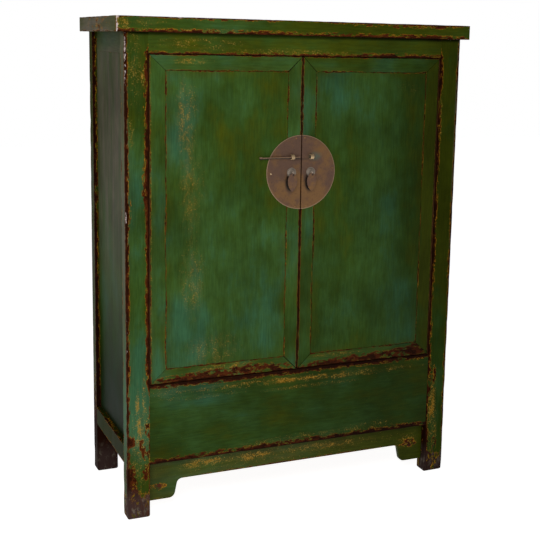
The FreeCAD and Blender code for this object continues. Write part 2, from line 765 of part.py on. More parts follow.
def make_staple(side):
    """A strip bent into a loop, with both ends driven through the stile and clinched behind it."""
    sign = SIDES[side]
    wide, narrow = "staple_outer_radius", "staple_inner_radius"
    bend, behind, clinched = "-(pin_y)", "-(door_back)", "-(door_back - staple_strip)"
    turned_out = f"{wide} + staple_clinch"
    corners = [
        (behind, turned_out), (behind, wide), (bend, wide), (f"{bend} - {wide}", "0"), (bend, f"-({wide})"),
        (behind, f"-({wide})"), (behind, f"-({turned_out})"), (clinched, f"-({turned_out})"),
        (clinched, f"-({narrow})"), (bend, f"-({narrow})"), (f"{bend} - {narrow}", "0"), (bend, narrow),
        (clinched, narrow), (clinched, turned_out),
    ]
    bends = (2, 3, 9, 10)
    loop = padded(
        f"{side}_staple_loop", "YZ_Plane", corners, "staple_width", arcs={index: "0" for index in bends},
    )
    place(loop, x=f"{sign} * staple_offset - staple_width / 2", z="staple_z")
    piece(f"{side}_staple", loop)
    let_into(loop, f"{side}_moon_plate", f"{side}_door_meeting_stile")


def make_lock_pin():
    """A round pin with a head at its left end and a blunt point, drawn back into the left staple."""
    pin = revolved(
        "pin_bar", "XZ_Plane",
        [("0", "0"), ("0", "pin_head_radius"), ("pin_head_length", "pin_head_radius"),
         ("pin_head_length + pin_radius", "pin_radius"), ("pin_length - pin_radius", "pin_radius"),
         ("pin_length", "pin_radius / 2"), ("pin_length", "0")],
        {}, "H_Axis",
    )
    piece("lock_pin", place(pin, "-(door_inner + pin_tip_gap + pin_length)", "-(pin_y)", "pin_z"))


# Assembly

def finish_pieces():
    """Cut every housing, check each object and give the pieces back under their names."""
    pieces = {}
    for name, shape in BLANKS.items():
        tools = HOUSINGS.get(name)
        result = cut(f"{name}_fitted", shape, tools) if tools else shape
        result.Label = name
        pieces[name] = result
    DOC.recompute()
    for thing in DOC.Objects:
        if {"Invalid", "Error"} & set(thing.State):
            raise RuntimeError(f"{thing.Name} failed: {thing.State}")
    for name, thing in pieces.items():
        if thing.Shape.isNull() or not thing.Shape.isValid() or not thing.Shape.Solids:
            raise RuntimeError(f"{name} has no valid solid")
    return pieces


def main():
    make_posts()
    make_rails()
    make_carcass_panels()
    make_apron()
    make_top()
    make_inside()
    for side in SIDES:
        make_door(side)
        make_moon_plate(side)
        make_pull(side)
        make_staple(side)
    make_lock_pin()
    pieces = finish_pieces()
    os.makedirs("parts", exist_ok=True)
    for name, thing in pieces.items():
        thing.Shape.exportStep(os.path.join("parts", f"{name}.step"))
    print(f"{len(pieces)} pieces, {sum(len(thing.Shape.Solids) for thing in pieces.values())} solids")


main()
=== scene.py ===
"""Worn green lacquer cabinet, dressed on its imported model.

Metres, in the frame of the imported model: +Z up, origin on the floor, the doors face -Y.
"""

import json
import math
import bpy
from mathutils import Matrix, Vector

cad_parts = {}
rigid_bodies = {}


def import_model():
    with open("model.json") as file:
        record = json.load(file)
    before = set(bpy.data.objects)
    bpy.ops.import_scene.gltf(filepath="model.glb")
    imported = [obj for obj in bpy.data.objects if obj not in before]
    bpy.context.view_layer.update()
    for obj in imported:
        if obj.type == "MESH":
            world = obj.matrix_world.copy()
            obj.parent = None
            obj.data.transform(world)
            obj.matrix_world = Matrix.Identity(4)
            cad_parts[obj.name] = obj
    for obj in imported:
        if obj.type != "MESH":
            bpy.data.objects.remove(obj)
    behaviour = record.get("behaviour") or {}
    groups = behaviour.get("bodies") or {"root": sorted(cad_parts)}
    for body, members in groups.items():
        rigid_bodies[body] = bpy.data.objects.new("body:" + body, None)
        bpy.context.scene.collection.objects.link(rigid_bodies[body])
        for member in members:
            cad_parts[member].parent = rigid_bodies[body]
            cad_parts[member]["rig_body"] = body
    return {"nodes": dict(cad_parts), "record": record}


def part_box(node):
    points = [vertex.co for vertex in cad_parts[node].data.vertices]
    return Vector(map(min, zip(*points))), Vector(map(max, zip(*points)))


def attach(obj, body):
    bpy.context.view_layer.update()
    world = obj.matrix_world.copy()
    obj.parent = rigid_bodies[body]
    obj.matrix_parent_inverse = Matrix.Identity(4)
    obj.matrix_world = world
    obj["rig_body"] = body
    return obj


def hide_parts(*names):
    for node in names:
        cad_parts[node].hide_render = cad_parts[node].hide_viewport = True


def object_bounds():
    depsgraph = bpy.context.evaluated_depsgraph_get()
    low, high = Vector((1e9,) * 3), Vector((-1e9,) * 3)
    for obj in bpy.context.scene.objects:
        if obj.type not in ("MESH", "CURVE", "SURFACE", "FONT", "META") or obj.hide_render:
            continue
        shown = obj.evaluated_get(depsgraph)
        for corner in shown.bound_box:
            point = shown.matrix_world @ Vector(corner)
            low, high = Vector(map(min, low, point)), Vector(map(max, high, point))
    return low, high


bl_info = {
    "name": "Worn Lacquer Cabinet",
    "version": (1, 0, 0),
    "blender": (4, 5, 0),
    "location": "View3D > Sidebar > Cabinet",
    "description": "Dresses a cabinet with worn lacquer, aged metalwork and a plain studio",
    "category": "Object",
}

from collections import namedtuple

import bmesh
import bpy
from bpy.props import FloatProperty, FloatVectorProperty, IntProperty, PointerProperty
from mathutils import Matrix, Vector, noise

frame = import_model()
CAD_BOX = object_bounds()

X, Y, Z = range(3)
SIDES = {"left": -1, "right": 1}

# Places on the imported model
FRONT_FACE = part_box("front_left_post")[0].y
POST_INNER, POST_OUTER = (corner.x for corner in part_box("front_right_post"))
RAIL_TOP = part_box("front_top_rail")[1].z
BOARD_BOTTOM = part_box("lower_front_board")[0].z
SIDE_FRONT, SIDE_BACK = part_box("front_left_post")[1].y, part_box("back_left_post")[0].y
DOOR_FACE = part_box("left_door_panel")[0].y
DOOR_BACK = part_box("left_door_hinge_stile")[1].y
DOOR_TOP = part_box("left_door_top_rail")[1].z
DOOR_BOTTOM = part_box("left_door_bottom_rail")[0].z
DOOR_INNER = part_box("right_door_meeting_stile")[0].x
DOOR_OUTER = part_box("right_door_hinge_stile")[1].x
DOOR_GAP = 0.002
TOP_LOW, TOP_HIGH = (Vector(corner) for corner in CAD_BOX)
TOP_LOW.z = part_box("top_front_member")[0].z
TOP_MIDDLE = (TOP_LOW.z + TOP_HIGH.z) / 2
PLATE_LOW, PLATE_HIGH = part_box("right_moon_plate")
PLATE_FACE = PLATE_LOW.y
PLATE_MIDDLE = (PLATE_LOW.z + PLATE_HIGH.z) / 2
PLATE_RADIUS = PLATE_HIGH.x
PULL_OFFSET = sum(corner.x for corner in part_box("right_pull_boss")) / 2

# What lies between these corners is the inside of the cabinet, where the timber is bare
DOOR_SKIN = 0.0035
SIDE_SKIN = 0.001
INSIDE_HIGH = Vector((
    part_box("right_side_panel")[0].x + SIDE_SKIN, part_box("back_panel")[1].y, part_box("top_panel")[0].z + SIDE_SKIN))
INSIDE_LOW = Vector((-INSIDE_HIGH.x, DOOR_FACE + DOOR_SKIN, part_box("bottom_board")[0].z - SIDE_SKIN))


# Settings

def tint(name, description, default):
    return FloatVectorProperty(
        name=name, description=description, subtype="COLOR", size=3, min=0, max=1, default=default)


def span(name, description, default):
    return FloatProperty(name=name, description=description, default=default, unit="LENGTH")


def amount(name, description, default, subtype="NONE"):
    return FloatProperty(name=name, description=description, default=default, subtype=subtype)


class CabinetTimber(bpy.types.PropertyGroup):
    """How the edges of the timber have worn."""
    edge_round: span("Edge round", "Radius of a bar's long edges", 0.0026)
    foot_round: span("Foot round", "Radius of the edges that stand on the floor", 0.008)
    corner_round: span("Top corner round", "Radius of the top's upright corners", 0.007)
    fine_round: span("Fine round", "Softening of the smaller edges", 0.0009)
    dent_depth: span("Dent depth", "Depth of the knocks along the edges", 0.0022)
    dent_pitch: span("Dent pitch", "Distance between the points along a bar", 0.011)


class CabinetLacquer(bpy.types.PropertyGroup):
    """Colours of the lacquer, from the sound film down to the timber."""
    teal: tint("Teal", "Bluest of the greens", (0.036, 0.106, 0.047))
    green: tint("Green", "Main green", (0.037, 0.084, 0.018))
    deep: tint("Deep green", "Darkest green", (0.031, 0.064, 0.009))
    olive: tint("Olive", "Yellowest of the greens", (0.047, 0.06, 0.0035))
    ochre: tint("Ochre", "Ground coat at the rims of the worn places", (0.36, 0.158, 0.01))
    pale: tint("Pale scuff", "Dried filler and scuffs", (0.42, 0.27, 0.055))
    chalk: tint("Chalk", "White filler at the knocked corners", (0.5, 0.41, 0.38))
    undercoat: tint("Undercoat", "Red-brown under the lacquer", (0.074, 0.0165, 0.004))
    dark: tint("Dark undercoat", "Darkest of the bare timber", (0.021, 0.0058, 0.002))
    foot: tint("Foot", "Bare timber of the feet", (0.055, 0.032, 0.027))
    # Grey of aged lacquer, also laid on the sides and ends as a painted sheen
    faded: tint("Faded film", "Grey bloom on the ends and sides", (0.125, 0.108, 0.076))
    timber: tint("Inside timber", "Plain timber inside and behind", (0.165, 0.082, 0.036))
    timber_dark: tint("Inside grain", "Dark grain of the plain timber", (0.062, 0.028, 0.013))


class CabinetMetal(bpy.types.PropertyGroup):
    """Colours and sizes of the metalwork."""
    plate: tint("Plate", "Brown patina of the lock plate", (0.108, 0.056, 0.034))
    plate_warm: tint("Warm plate", "Rubbed copper of the lock plate", (0.17, 0.083, 0.027))
    verdigris: tint("Verdigris", "Green bloom round the staple", (0.075, 0.105, 0.075))
    brass: tint("Brass", "Staples and nails", (0.47, 0.33, 0.18))
    bronze: tint("Bronze", "Grey bronze of the pulls", (0.255, 0.205, 0.16))
    # Colour of the painted shade on the metalwork: beside the leaves, in their holes, under the pin and along its
    # underside
    grime: tint("Grime", "Dirt behind the pulls", (0.012, 0.008, 0.006))
    # The plate's bright rim: worn metal with a painted highlight
    rim: tint("Rubbed rim", "Bright rim of the lock plate", (0.26, 0.165, 0.095))
    pin: tint("Pin", "Dark bronze of the pin", (0.15, 0.094, 0.058))
    plate_ripple: span("Plate ripple", "Unevenness of the beaten plate", 0.00035)
    nail_radius: span("Nail radius", "Radius of the nail heads", 0.003)
    nail_height: span("Nail height", "Height of the nail heads", 0.0013)
    leaf_round: span("Leaf round", "Softening of the leaves, staples and pin", 0.0005)
    ring_round: span("Ring round", "Softening of the pulls' rings", 0.0002)
    round_steps: IntProperty(name="Round steps", description="Faces round a turned piece", default=40, min=12)


class CabinetStage(bpy.types.PropertyGroup):
    """Camera, floor and light."""
    camera_place: FloatVectorProperty(
        name="Camera place", description="Where the camera stands", subtype="TRANSLATION", size=3, unit="LENGTH",
        default=(-1.4194, -3.459, 1.5704))
    camera_yaw: amount("Yaw", "Turn to the right", 0.4214, "ANGLE")
    camera_pitch: amount("Pitch", "Tilt upwards", -0.1703, "ANGLE")
    camera_roll: amount("Roll", "Turn about the view", 0.0218, "ANGLE")
    camera_lens: amount("Lens", "Focal length", 70.33, "DISTANCE_CAMERA")
    camera_shift: FloatVectorProperty(
        name="Shift", description="Shift of the view across and up", size=2, default=(-0.0666, -0.0851))
    floor_size: span("Floor size", "Side of the floor", 24.0)
    floor_colour: tint("Floor colour", "Pale floor", (0.55, 0.55, 0.545))
    floor_glow: amount("Floor glow", "Light that the floor gives off", 0.92)
    backdrop: amount("Backdrop", "Brightness seen behind the cabinet", 1.0)
    surround: amount("Surround", "Light from all round", 0.2)
    key_power: amount("Key power", "Main light", 52.0, "POWER")
    side_power: amount("Side power", "Light on the left side", 12.0, "POWER")


def set_up(thing, **settings):
    for key, setting in settings.items():
        setattr(thing, key, setting)
    return thing


# Shader nodes

class Field:
    """An output of a shader node. Sums and products of fields add the nodes that work them out."""

    def __init__(self, recipe, socket):
        self.recipe = recipe
        self.socket = socket

    def __add__(self, other):
        return self.recipe.math("ADD", self, other)

    def __sub__(self, other):
        return self.recipe.math("SUBTRACT", self, other)

    def __mul__(self, other):
        return self.recipe.math("MULTIPLY", self, other)

    def __truediv__(self, other):
        return self.recipe.math("DIVIDE", self, other)

    def centred(self, gain):
        """A field about a half, turned into one about zero."""
        return (self - 0.5) * gain

    def ease(self, low, high, to_low=0.0, to_high=1.0):
        """Ease from to_low to to_high as the field goes from low to high."""
        return self.recipe.field(
            "ShaderNodeMapRange", "Result",
            {"Value": self, "From Min": low, "From Max": high, "To Min": to_low, "To Max": to_high},
            interpolation_type="SMOOTHSTEP")


class Recipe:
    """Builds a node tree step by step; most calls add a node and give back its output as a field."""

    def __init__(self, tree):
        self.tree = tree

    def feed(self, sockets, sources):
        """Link fields to some inputs of a node, and set its other inputs to plain values."""
        for key, source in sources.items():
            if isinstance(source, Field):
                self.tree.links.new(source.socket, sockets[key])
            else:
                sockets[key].default_value = source

    def node(self, kind, inputs=None, **settings):
        made = set_up(self.tree.nodes.new(kind), **settings)
        self.feed(made.inputs, inputs or {})
        return made

    def field(self, kind, output, inputs=None, **settings):
        return Field(self, self.node(kind, inputs, **settings).outputs[output])

    def math(self, operation, first, second=0.0, clamp=False):
        return self.field("ShaderNodeMath", 0, {0: first, 1: second}, operation=operation, use_clamp=clamp)

    def least(self, first, *others):
        for other in others:
            first = self.math("MINIMUM", first, other)
        return first

    def vector(self, operation, first, second=(0, 0, 0)):
        output = "Value" if operation == "LENGTH" else "Vector"
        return self.field("ShaderNodeVectorMath", output, {0: first, 1: second}, operation=operation)

    def scaled(self, colour, share):
        """A colour times a number."""
        return self.field("ShaderNodeVectorMath", "Vector", {0: colour, "Scale": share}, operation="SCALE")

    def split(self, vector):
        return [Field(self, part) for part in self.node("ShaderNodeSeparateXYZ", {"Vector": vector}).outputs]

    def point(self):
        """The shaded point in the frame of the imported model, at rest."""
        return self.field("ShaderNodeTexCoord", "Object")

    def depths(self, point, low, high):
        """How deep a point lies between two corners, along each axis."""
        return self.split(self.vector(
            "MINIMUM", self.vector("SUBTRACT", point, low), self.vector("SUBTRACT", high, point)))

    def noise(self, vector, scale, detail=2.0, roughness=0.5, distortion=0.0, output="Fac"):
        return self.field("ShaderNodeTexNoise", output, {
            "Vector": vector, "Scale": scale, "Detail": detail, "Roughness": roughness, "Distortion": distortion})

    def chips(self, vector, scale):
        """A random number for each chip of a broken film, with uneven borders between the chips."""
        uneven = self.noise(vector, scale * 2, 3.0, output="Color")
        moved = self.scaled(self.vector("SUBTRACT", uneven, (0.5, 0.5, 0.5)), 2.0 / scale)
        return self.field(
            "ShaderNodeTexVoronoi", "Color", {"Vector": self.vector("ADD", vector, moved), "Scale": scale})

    def blend(self, factor, first, second):
        """From the first colour to the second, as the factor rises."""
        sources = {0: factor, 6: rgba(first), 7: rgba(second)}
        return self.field("ShaderNodeMix", 2, sources, data_type="RGBA", clamp_factor=True)

    def ramp(self, source, stops):
        made = self.node("ShaderNodeValToRGB", {"Fac": source})
        elements = made.color_ramp.elements
        while len(elements) < len(stops):
            elements.new(0.5)
        for element, (place, colour) in zip(elements, stops.items()):
            element.position = place
            element.color = rgba(colour)
        return Field(self, made.outputs["Color"])


def rgba(colour):
    return colour if isinstance(colour, Field) else (*colour, 1.0)


VECTOR, NUMBER, COLOUR = "NodeSocketVector", "NodeSocketFloat", "NodeSocketColor"


def node_group(name, inputs, outputs, work_out):
    """A node group, made once; work_out gives its outputs from its inputs."""
    if name in bpy.data.node_groups:
        return bpy.data.node_groups[name]
    group = bpy.data.node_groups.new(name, "ShaderNodeTree")
    for way, sockets in {"INPUT": inputs, "OUTPUT": outputs}.items():
        for socket, kind in sockets.items():
            group.interface.new_socket(socket, in_out=way, socket_type=kind)
    recipe = Recipe(group)
    given = {socket.name: Field(recipe, socket) for socket in recipe.node("NodeGroupInput").outputs}
    recipe.feed(recipe.node("NodeGroupOutput").inputs, work_out(recipe, given))
    return group


def wood_grain(recipe, grained, shade=1.0):
    """Colour and height of plain timber at a point drawn out along the grain."""
    colours = bpy.context.scene.cabinet_lacquer
    figure = recipe.noise(grained, 22.0, 4.0, 0.55, 0.6)
    fibres = recipe.noise(grained, 170.0, 4.0, 0.65)
    pores = recipe.noise(grained, 430.0)
    grain = figure * 0.5 + fibres * 0.5
    wood = recipe.blend(grain.ease(0.38, 0.62), colours.timber_dark * shade, colours.timber * shade)
    wood = recipe.blend(pores.ease(0.56, 0.72, 0.0, 0.5), wood, colours.dark)
    return wood, grain * 0.5 + pores * -0.4


def worn_place(recipe, given):
    """How strongly a point lies in one worn place."""
    offset = recipe.vector("SUBTRACT", recipe.point(), given["centre"])
    distance = recipe.vector("LENGTH", recipe.vector("DIVIDE", offset, given["reach"]))
    return {"wear": distance.ease(0.25, 1.0, 1.0, 0.0) * given["strength"]}


def worn_lacquer(recipe, given):
    """Green lacquer worn through to ochre ground, red undercoat and timber, with chalky filler at the corners."""
    colours = bpy.context.scene.cabinet_lacquer
    point = recipe.point()

    # Distance to the nearest edge of the piece: the middle one of the distances to its faces
    near = recipe.depths(point, given["Low"], given["High"])
    most = recipe.math("MAXIMUM", near[X], near[Y])
    edge = recipe.math("MAXIMUM", recipe.least(near[X], near[Y]), recipe.least(most, near[Z]))

    # Cloudy and streaky fields, the streaks drawn out along the grain
    shifted = recipe.vector("ADD", point, given["Seed"])
    grained = recipe.vector("MULTIPLY", shifted, given["Grain"])
    half_grained = recipe.vector("ADD", shifted, grained)
    clouds = recipe.noise(shifted, 2.2, 3.0, 0.55)
    smoke = recipe.noise(shifted, 5.5, 4.0, 0.6)
    stretch = recipe.noise(shifted, 9.0)
    flecks = recipe.noise(shifted, 330.0)
    mottle = recipe.noise(half_grained, 6.5, 5.0, 0.62)
    ragged = recipe.noise(half_grained, 30.0, 8.0, 0.72, 0.5)
    specks = recipe.noise(half_grained, 85.0, 6.0, 0.8)
    broken = recipe.chips(half_grained, 55.0)
    streaks = recipe.noise(grained, 30.0, 4.0, 0.6)
    scratch = recipe.noise(grained, 150.0, 5.0, 0.72)
    brush = recipe.noise(grained, 210.0)

    # Worn edges, wider in some stretches than in others
    width = given["Edge Wear"] * stretch.ease(0.28, 0.72, 0.25, 1.6)
    rim = recipe.math("SUBTRACT", 1.0, edge / width, clamp=True)
    worn = rim * 0.7 + given["Flaked"]
    roughened = ragged.centred(1.9) + specks.centred(0.9) + broken.centred(1.15)
    wear = worn + roughened * worn.ease(0.05, 0.4, 0.35, 1.0)
    bare = wear.ease(0.5, 0.515)
    halo = wear.ease(0.365, 0.4) * stretch.ease(0.35, 0.6, 0.4, 1.0)
    deep = (wear + streaks.centred(0.8)).ease(0.66, 1.15)

    # Scuffs: broken up into patches of strokes and dots
    patchy = given["Scuffed"] * ragged.ease(0.4, 0.62, 0.15, 1.15)
    strokes = scratch * 0.4 + specks * 0.6 + patchy * 0.19
    scraped = strokes.ease(0.62, 0.7) * patchy.ease(0.02, 0.25, 0.0, 0.42)
    dotted = (flecks + patchy * 0.27).ease(0.69, 0.74, 0.0, 0.75) * patchy.ease(0.0, 0.12, 0.15, 1.0)
    scuffs = recipe.math("MAXIMUM", scraped, dotted) * streaks.ease(0.32, 0.62, 0.55, 1.0)

    # Sound lacquer: olive at the edges, worn thin in the scuffs, grey where it has aged pale and where a grey sheen is
    # painted on the sides and ends
    tone = clouds.centred(0.75) + mottle.centred(0.62) + streaks.centred(0.22) + given["Hue"]
    sound = recipe.ramp(
        tone + 0.5, {0.27: colours.olive, 0.43: colours.deep, 0.55: colours.green, 0.72: colours.teal})
    aged_edge = edge.ease(0.0, 0.035, 1.0, 0.0) * stretch.ease(0.35, 0.7, 0.1, 0.6)
    sound = recipe.blend(aged_edge, sound, colours.olive)
    sound = recipe.blend(patchy * streaks.ease(0.3, 0.7, 0.05, 0.45), sound, colours.ochre * 0.7)
    sound = recipe.blend(given["Faded"] * streaks.ease(0.3, 0.7, 0.45, 1.15), sound, colours.faded)
    # Shade darkens the film, and also carries painted shade such as the shadow under the top
    weathered_and_shaded = brush.ease(0.25, 0.75, 0.86, 1.14) * smoke.ease(0.3, 0.7, 0.8, 1.18) * given["Shade"]
    lacquered = recipe.scaled(sound, weathered_and_shaded)

    # Ground, undercoat and the bare timber of the feet
    ground = recipe.blend(flecks.ease(0.46, 0.74), colours.ochre, colours.pale)
    stained = recipe.blend(flecks.ease(0.3, 0.6), colours.ochre * 0.55, colours.ochre)
    foot = recipe.split(point)[Z].ease(0.05, 0.13, 1.0, 0.0)
    under = recipe.blend(deep, colours.undercoat, colours.dark)
    bleached = recipe.blend(ragged.ease(0.52, 0.66, 0.0, 0.55), colours.foot, colours.faded * 2)
    footed = recipe.blend(foot * streaks.ease(0.3, 0.6, 0.4, 1.0), under, bleached)
    footed = recipe.scaled(footed, given["Shade"].ease(0.3, 1.0, 0.34, 1.0))

    # From the film down: fringes, scuffs, bare places, filler, and bare timber inside the cabinet
    outside = recipe.blend(halo * given["Fringe"], lacquered, stained)
    outside = recipe.blend(scuffs, outside, recipe.scaled(ground, given["Shade"].ease(0.3, 1.0, 0.64, 1.0)))
    outside = recipe.blend(bare, outside, footed)
    chipped = given["Chalked"] + ragged.centred(1.6) + specks.centred(2.2)
    chalk = chipped.ease(0.48, 0.54, 0.0, 0.9) * given["Chalked"].ease(0.05, 0.25)
    outside = recipe.blend(chalk, outside, colours.chalk)
    inside = recipe.least(*recipe.depths(point, INSIDE_LOW, INSIDE_HIGH)).ease(0.0, 0.0005)
    wood, wood_height = wood_grain(recipe, grained, 0.85)
    film = recipe.math("SUBTRACT", 1.0, bare * 0.8)
    return {
        "Color": recipe.blend(inside, outside, wood),
        "Roughness": smoke.ease(0.2, 0.8, 0.28, 0.4) + bare * 0.22 + scuffs * 0.12 + inside * 0.25,
        "Height": film + brush * 0.08 + scuffs * -0.2 + flecks * 0.05 + inside * wood_height,
    }


# Wear

# A worn place: its centre, how far it reaches each way, and how strongly it is worn
Place = namedtuple("Place", "centre reach strength")

# Which input of the lacquer's node group each kind of wear goes to
WEAR_INPUTS = {
    "flaked": "Flaked", "scuffed": "Scuffed", "faded": "Faded", "chalked": "Chalked", "tinted": "Hue",
    "shaded": "Shade",
}


def on_face(face, *rows):
    """Worn places on a front face: each row gives x, z, the reach along X, Y and Z, and the strength."""
    return tuple(Place((x, face, z), reach, strength) for x, z, *reach, strength in rows)


def looks(face, **told):
    """How a piece looks: the values of its lacquer, with each kind of wear as rows of places on a front face."""
    return {key: on_face(face, *value) if key in WEAR_INPUTS else value for key, value in told.items()}


def add_places(recipe, places):
    """The summed wear of some places."""
    total = 0.0
    for place in places:
        group = node_group(
            "worn_place", {"centre": VECTOR, "reach": VECTOR, "strength": NUMBER}, {"wear": NUMBER}, worn_place)
        wear = recipe.field("ShaderNodeGroup", "wear", place._asdict(), node_tree=group)
        total = total + wear if total else wear
    return total


# Materials

GRAIN_SHARE = 0.09
BUMP_STRENGTH = 0.7
LACQUER_RELIEF = 0.0005
TIMBER_RELIEF = 0.0004
METAL_RELIEF = 0.0004
FLOOR_RELIEF = 0.0002


def new_material(name):
    material = bpy.data.materials.new(name)
    material.use_nodes = True
    return material, Recipe(material.node_tree)


def surface(material):
    """The inputs of a material's shader."""
    return material.node_tree.nodes["Principled BSDF"].inputs


def finish_surface(material, recipe, colour, roughness, height, relief, metallic=0.0, gloss=0.5):
    """Put a colour, a roughness and a relief on the material's shader."""
    bump = recipe.field(
        "ShaderNodeBump", "Normal", {"Height": height, "Strength": BUMP_STRENGTH, "Distance": relief})
    recipe.feed(surface(material), {
        "Base Color": colour, "Roughness": roughness, "Normal": bump, "Metallic": metallic,
        "Specular IOR Level": gloss})
    return material


def along_grain(axis):
    """How a point is squeezed along one axis, to draw its noise out along the grain."""
    return [GRAIN_SHARE if other == axis else 1.0 for other in (X, Y, Z)]


def lacquer(
    name, low, high, grain, edge_wear, hue=0.0, shade=1.0, seed=0.0, fringe=0.85, gloss=0.02, **worn,
):
    """Worn lacquer for a piece that shows between the corners low and high, with its grain along one axis.

    worn gives the places of each kind of wear.
    """
    material, recipe = new_material(f"{name}_lacquer")
    group = recipe.node("ShaderNodeGroup", node_tree=node_group(
        "worn_lacquer",
        {"Low": VECTOR, "High": VECTOR, "Grain": VECTOR, "Seed": VECTOR, "Edge Wear": NUMBER, "Flaked": NUMBER,
         "Scuffed": NUMBER, "Faded": NUMBER, "Chalked": NUMBER, "Hue": NUMBER, "Shade": NUMBER, "Fringe": NUMBER},
        {"Color": COLOUR, "Roughness": NUMBER, "Height": NUMBER}, worn_lacquer))
    values = {"Low": low, "High": high, "Grain": along_grain(grain), "Seed": (seed, seed, seed),
              "Edge Wear": edge_wear, "Hue": hue, "Shade": shade, "Fringe": fringe}
    for kind, places in worn.items():
        key = WEAR_INPUTS[kind]
        values[key] = add_places(recipe, places) + values.get(key, 0.0)
    recipe.feed(group.inputs, values)
    colour, roughness, height = (Field(recipe, output) for output in group.outputs)
    return finish_surface(material, recipe, colour, roughness, height, LACQUER_RELIEF, gloss=gloss)


def plain_timber(name, grain, shade=1.0):
    """Unpainted timber, darkened with age, with its grain along one axis."""
    material, recipe = new_material(f"{name}_timber")
    point = recipe.point()
    stains = recipe.noise(point, 5.0, 3.0)
    wood, height = wood_grain(recipe, recipe.vector("MULTIPLY", point, along_grain(grain)), shade)
    dark = bpy.context.scene.cabinet_lacquer.timber_dark * shade
    wood = recipe.blend(stains.ease(0.5, 0.8, 0.0, 0.5), wood, dark)
    roughness = stains.ease(0.3, 0.7, 0.74, 0.6)
    return finish_surface(material, recipe, wood, roughness, height, TIMBER_RELIEF, gloss=0.25)


def aged_metal(name, main, warm, rub_scale, bloom=(), grime=(), rubbed=(), metallic=0.5):
    """Metal with a cloudy patina: worn warmer in places and green with bloom in others, with painted shade in some
    places and painted highlights among the warm ones.
    """
    metal = bpy.context.scene.cabinet_metal
    material, recipe = new_material(name)
    point = recipe.point()
    clouds = recipe.noise(point, rub_scale, 4.0, 0.6)
    stains = recipe.noise(point, rub_scale * 6, 4.0, 0.65)
    grains = recipe.noise(point, 900.0)
    warmth_and_highlight = clouds + add_places(recipe, rubbed)
    colour = recipe.blend(warmth_and_highlight.ease(0.38, 0.68), main, warm)
    colour = recipe.blend(stains.ease(0.52, 0.72, 0.0, 0.45), colour, main * 0.5)
    if bloom:
        patchy = add_places(recipe, bloom) * stains.ease(0.35, 0.6, 0.3, 1.0)
        colour = recipe.blend(patchy, colour, metal.verdigris)
    if grime:
        colour = recipe.blend(add_places(recipe, grime), colour, metal.grime)
    roughness = clouds.ease(0.3, 0.7, 0.56, 0.36) + grains * 0.08
    height = clouds * 0.6 + stains * 0.3 + grains * 0.06
    return finish_surface(material, recipe, colour, roughness, height, METAL_RELIEF, metallic)


RIM_INNER, RIM_OUTER = 0.0036, 0.0012


def rub_rim_and_paint_highlight(material, colour):
    """Rub the rim of the lock plate bright: worn metal, with a painted highlight along it."""
    recipe = Recipe(material.node_tree)
    patina = Field(recipe, surface(material)["Base Color"].links[0].from_socket)
    offset = recipe.vector("SUBTRACT", recipe.point(), (0.0, 0.0, PLATE_MIDDLE))
    radius = recipe.vector("LENGTH", recipe.vector("MULTIPLY", offset, (1.0, 0.0, 1.0)))
    rim = radius.ease(PLATE_RADIUS - RIM_INNER, PLATE_RADIUS - RIM_OUTER)
    recipe.feed(surface(material), {"Base Color": recipe.blend(rim, patina, colour)})


# Meshes

def link(data):
    made = bpy.data.objects.new(data.name, data)
    bpy.context.scene.collection.objects.link(made)
    return made


def link_mesh(mesh, body, slot):
    piece = link(mesh)
    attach(piece, body)
    return piece


def slot_of(node):
    return next(part["material_slot"] for part in frame["record"]["subparts"] if part["node"] == node)


def stand_in(node, mesh, material):
    """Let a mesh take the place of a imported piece."""
    mesh.materials.append(material)
    piece = link_mesh(mesh, frame["nodes"][node]["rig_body"], slot_of(node))
    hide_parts(node)
    return piece


WELD_DISTANCE = 1e-6
JOIN_DISTANCE = 1e-5
FLAT_ANGLE, SMOOTH_ANGLE, EDGE_ANGLE = (math.radians(angle) for angle in (1, 35, 40))


def mesh_from(name, bm):
    bmesh.ops.remove_doubles(bm, verts=bm.verts, dist=WELD_DISTANCE)
    bmesh.ops.recalc_face_normals(bm, faces=bm.faces)
    mesh = bpy.data.meshes.new(name)
    bm.to_mesh(mesh)
    bm.free()
    mesh.shade_smooth()
    mesh.set_sharp_from_angle(angle=SMOOTH_ANGLE)
    return mesh


def skin(bm, rings, closed=True):
    """Join rings of points with faces; a ring may be a single point."""
    for below, above in zip(rings, rings[1:]):
        steps = max(len(below), len(above))
        for step in range(steps if closed else steps - 1):
            after = (step + 1) % steps
            corners = (below[step % len(below)], below[after % len(below)],
                       above[after % len(above)], above[step % len(above)])
            bm.faces.new(list(dict.fromkeys(corners)))


def weigh_normals(piece):
    """Keep the flats flat beside rounded edges."""
    set_up(piece.modifiers.new("even shading", "WEIGHTED_NORMAL"), keep_sharp=True)
    return piece


def dress(node, material, softened=None):
    """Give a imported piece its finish, and round its edges a little without touching its mesh."""
    piece = frame["nodes"][node]
    if not piece.material_slots:
        piece.data.materials.append(None)
    for slot in piece.material_slots:
        set_up(slot, link="OBJECT", material=material)
    if softened:
        set_up(piece.modifiers.new("joined faces", "WELD"), merge_threshold=JOIN_DISTANCE)
        set_up(piece.modifiers.new("whole flats", "DECIMATE"), decimate_type="DISSOLVE", angle_limit=FLAT_ANGLE)
        set_up(
            piece.modifiers.new("soft edges", "BEVEL"), width=softened, segments=2, limit_method="ANGLE",
            angle_limit=EDGE_ANGLE, use_clamp_overlap=True)
        weigh_normals(piece)


CORNER_STEPS = 3
END_STEPS = 3
PLAIN_END_STEPS = (0, 1, 3)
CRISP_ROUND = 0.0002
LONG_KNOCK_SCALE, LONG_KNOCK_START = 16.0, 0.12
SHORT_KNOCK_SCALE, SHORT_KNOCK_START, SHORT_KNOCK_SHARE = 75.0, 0.22, 0.6


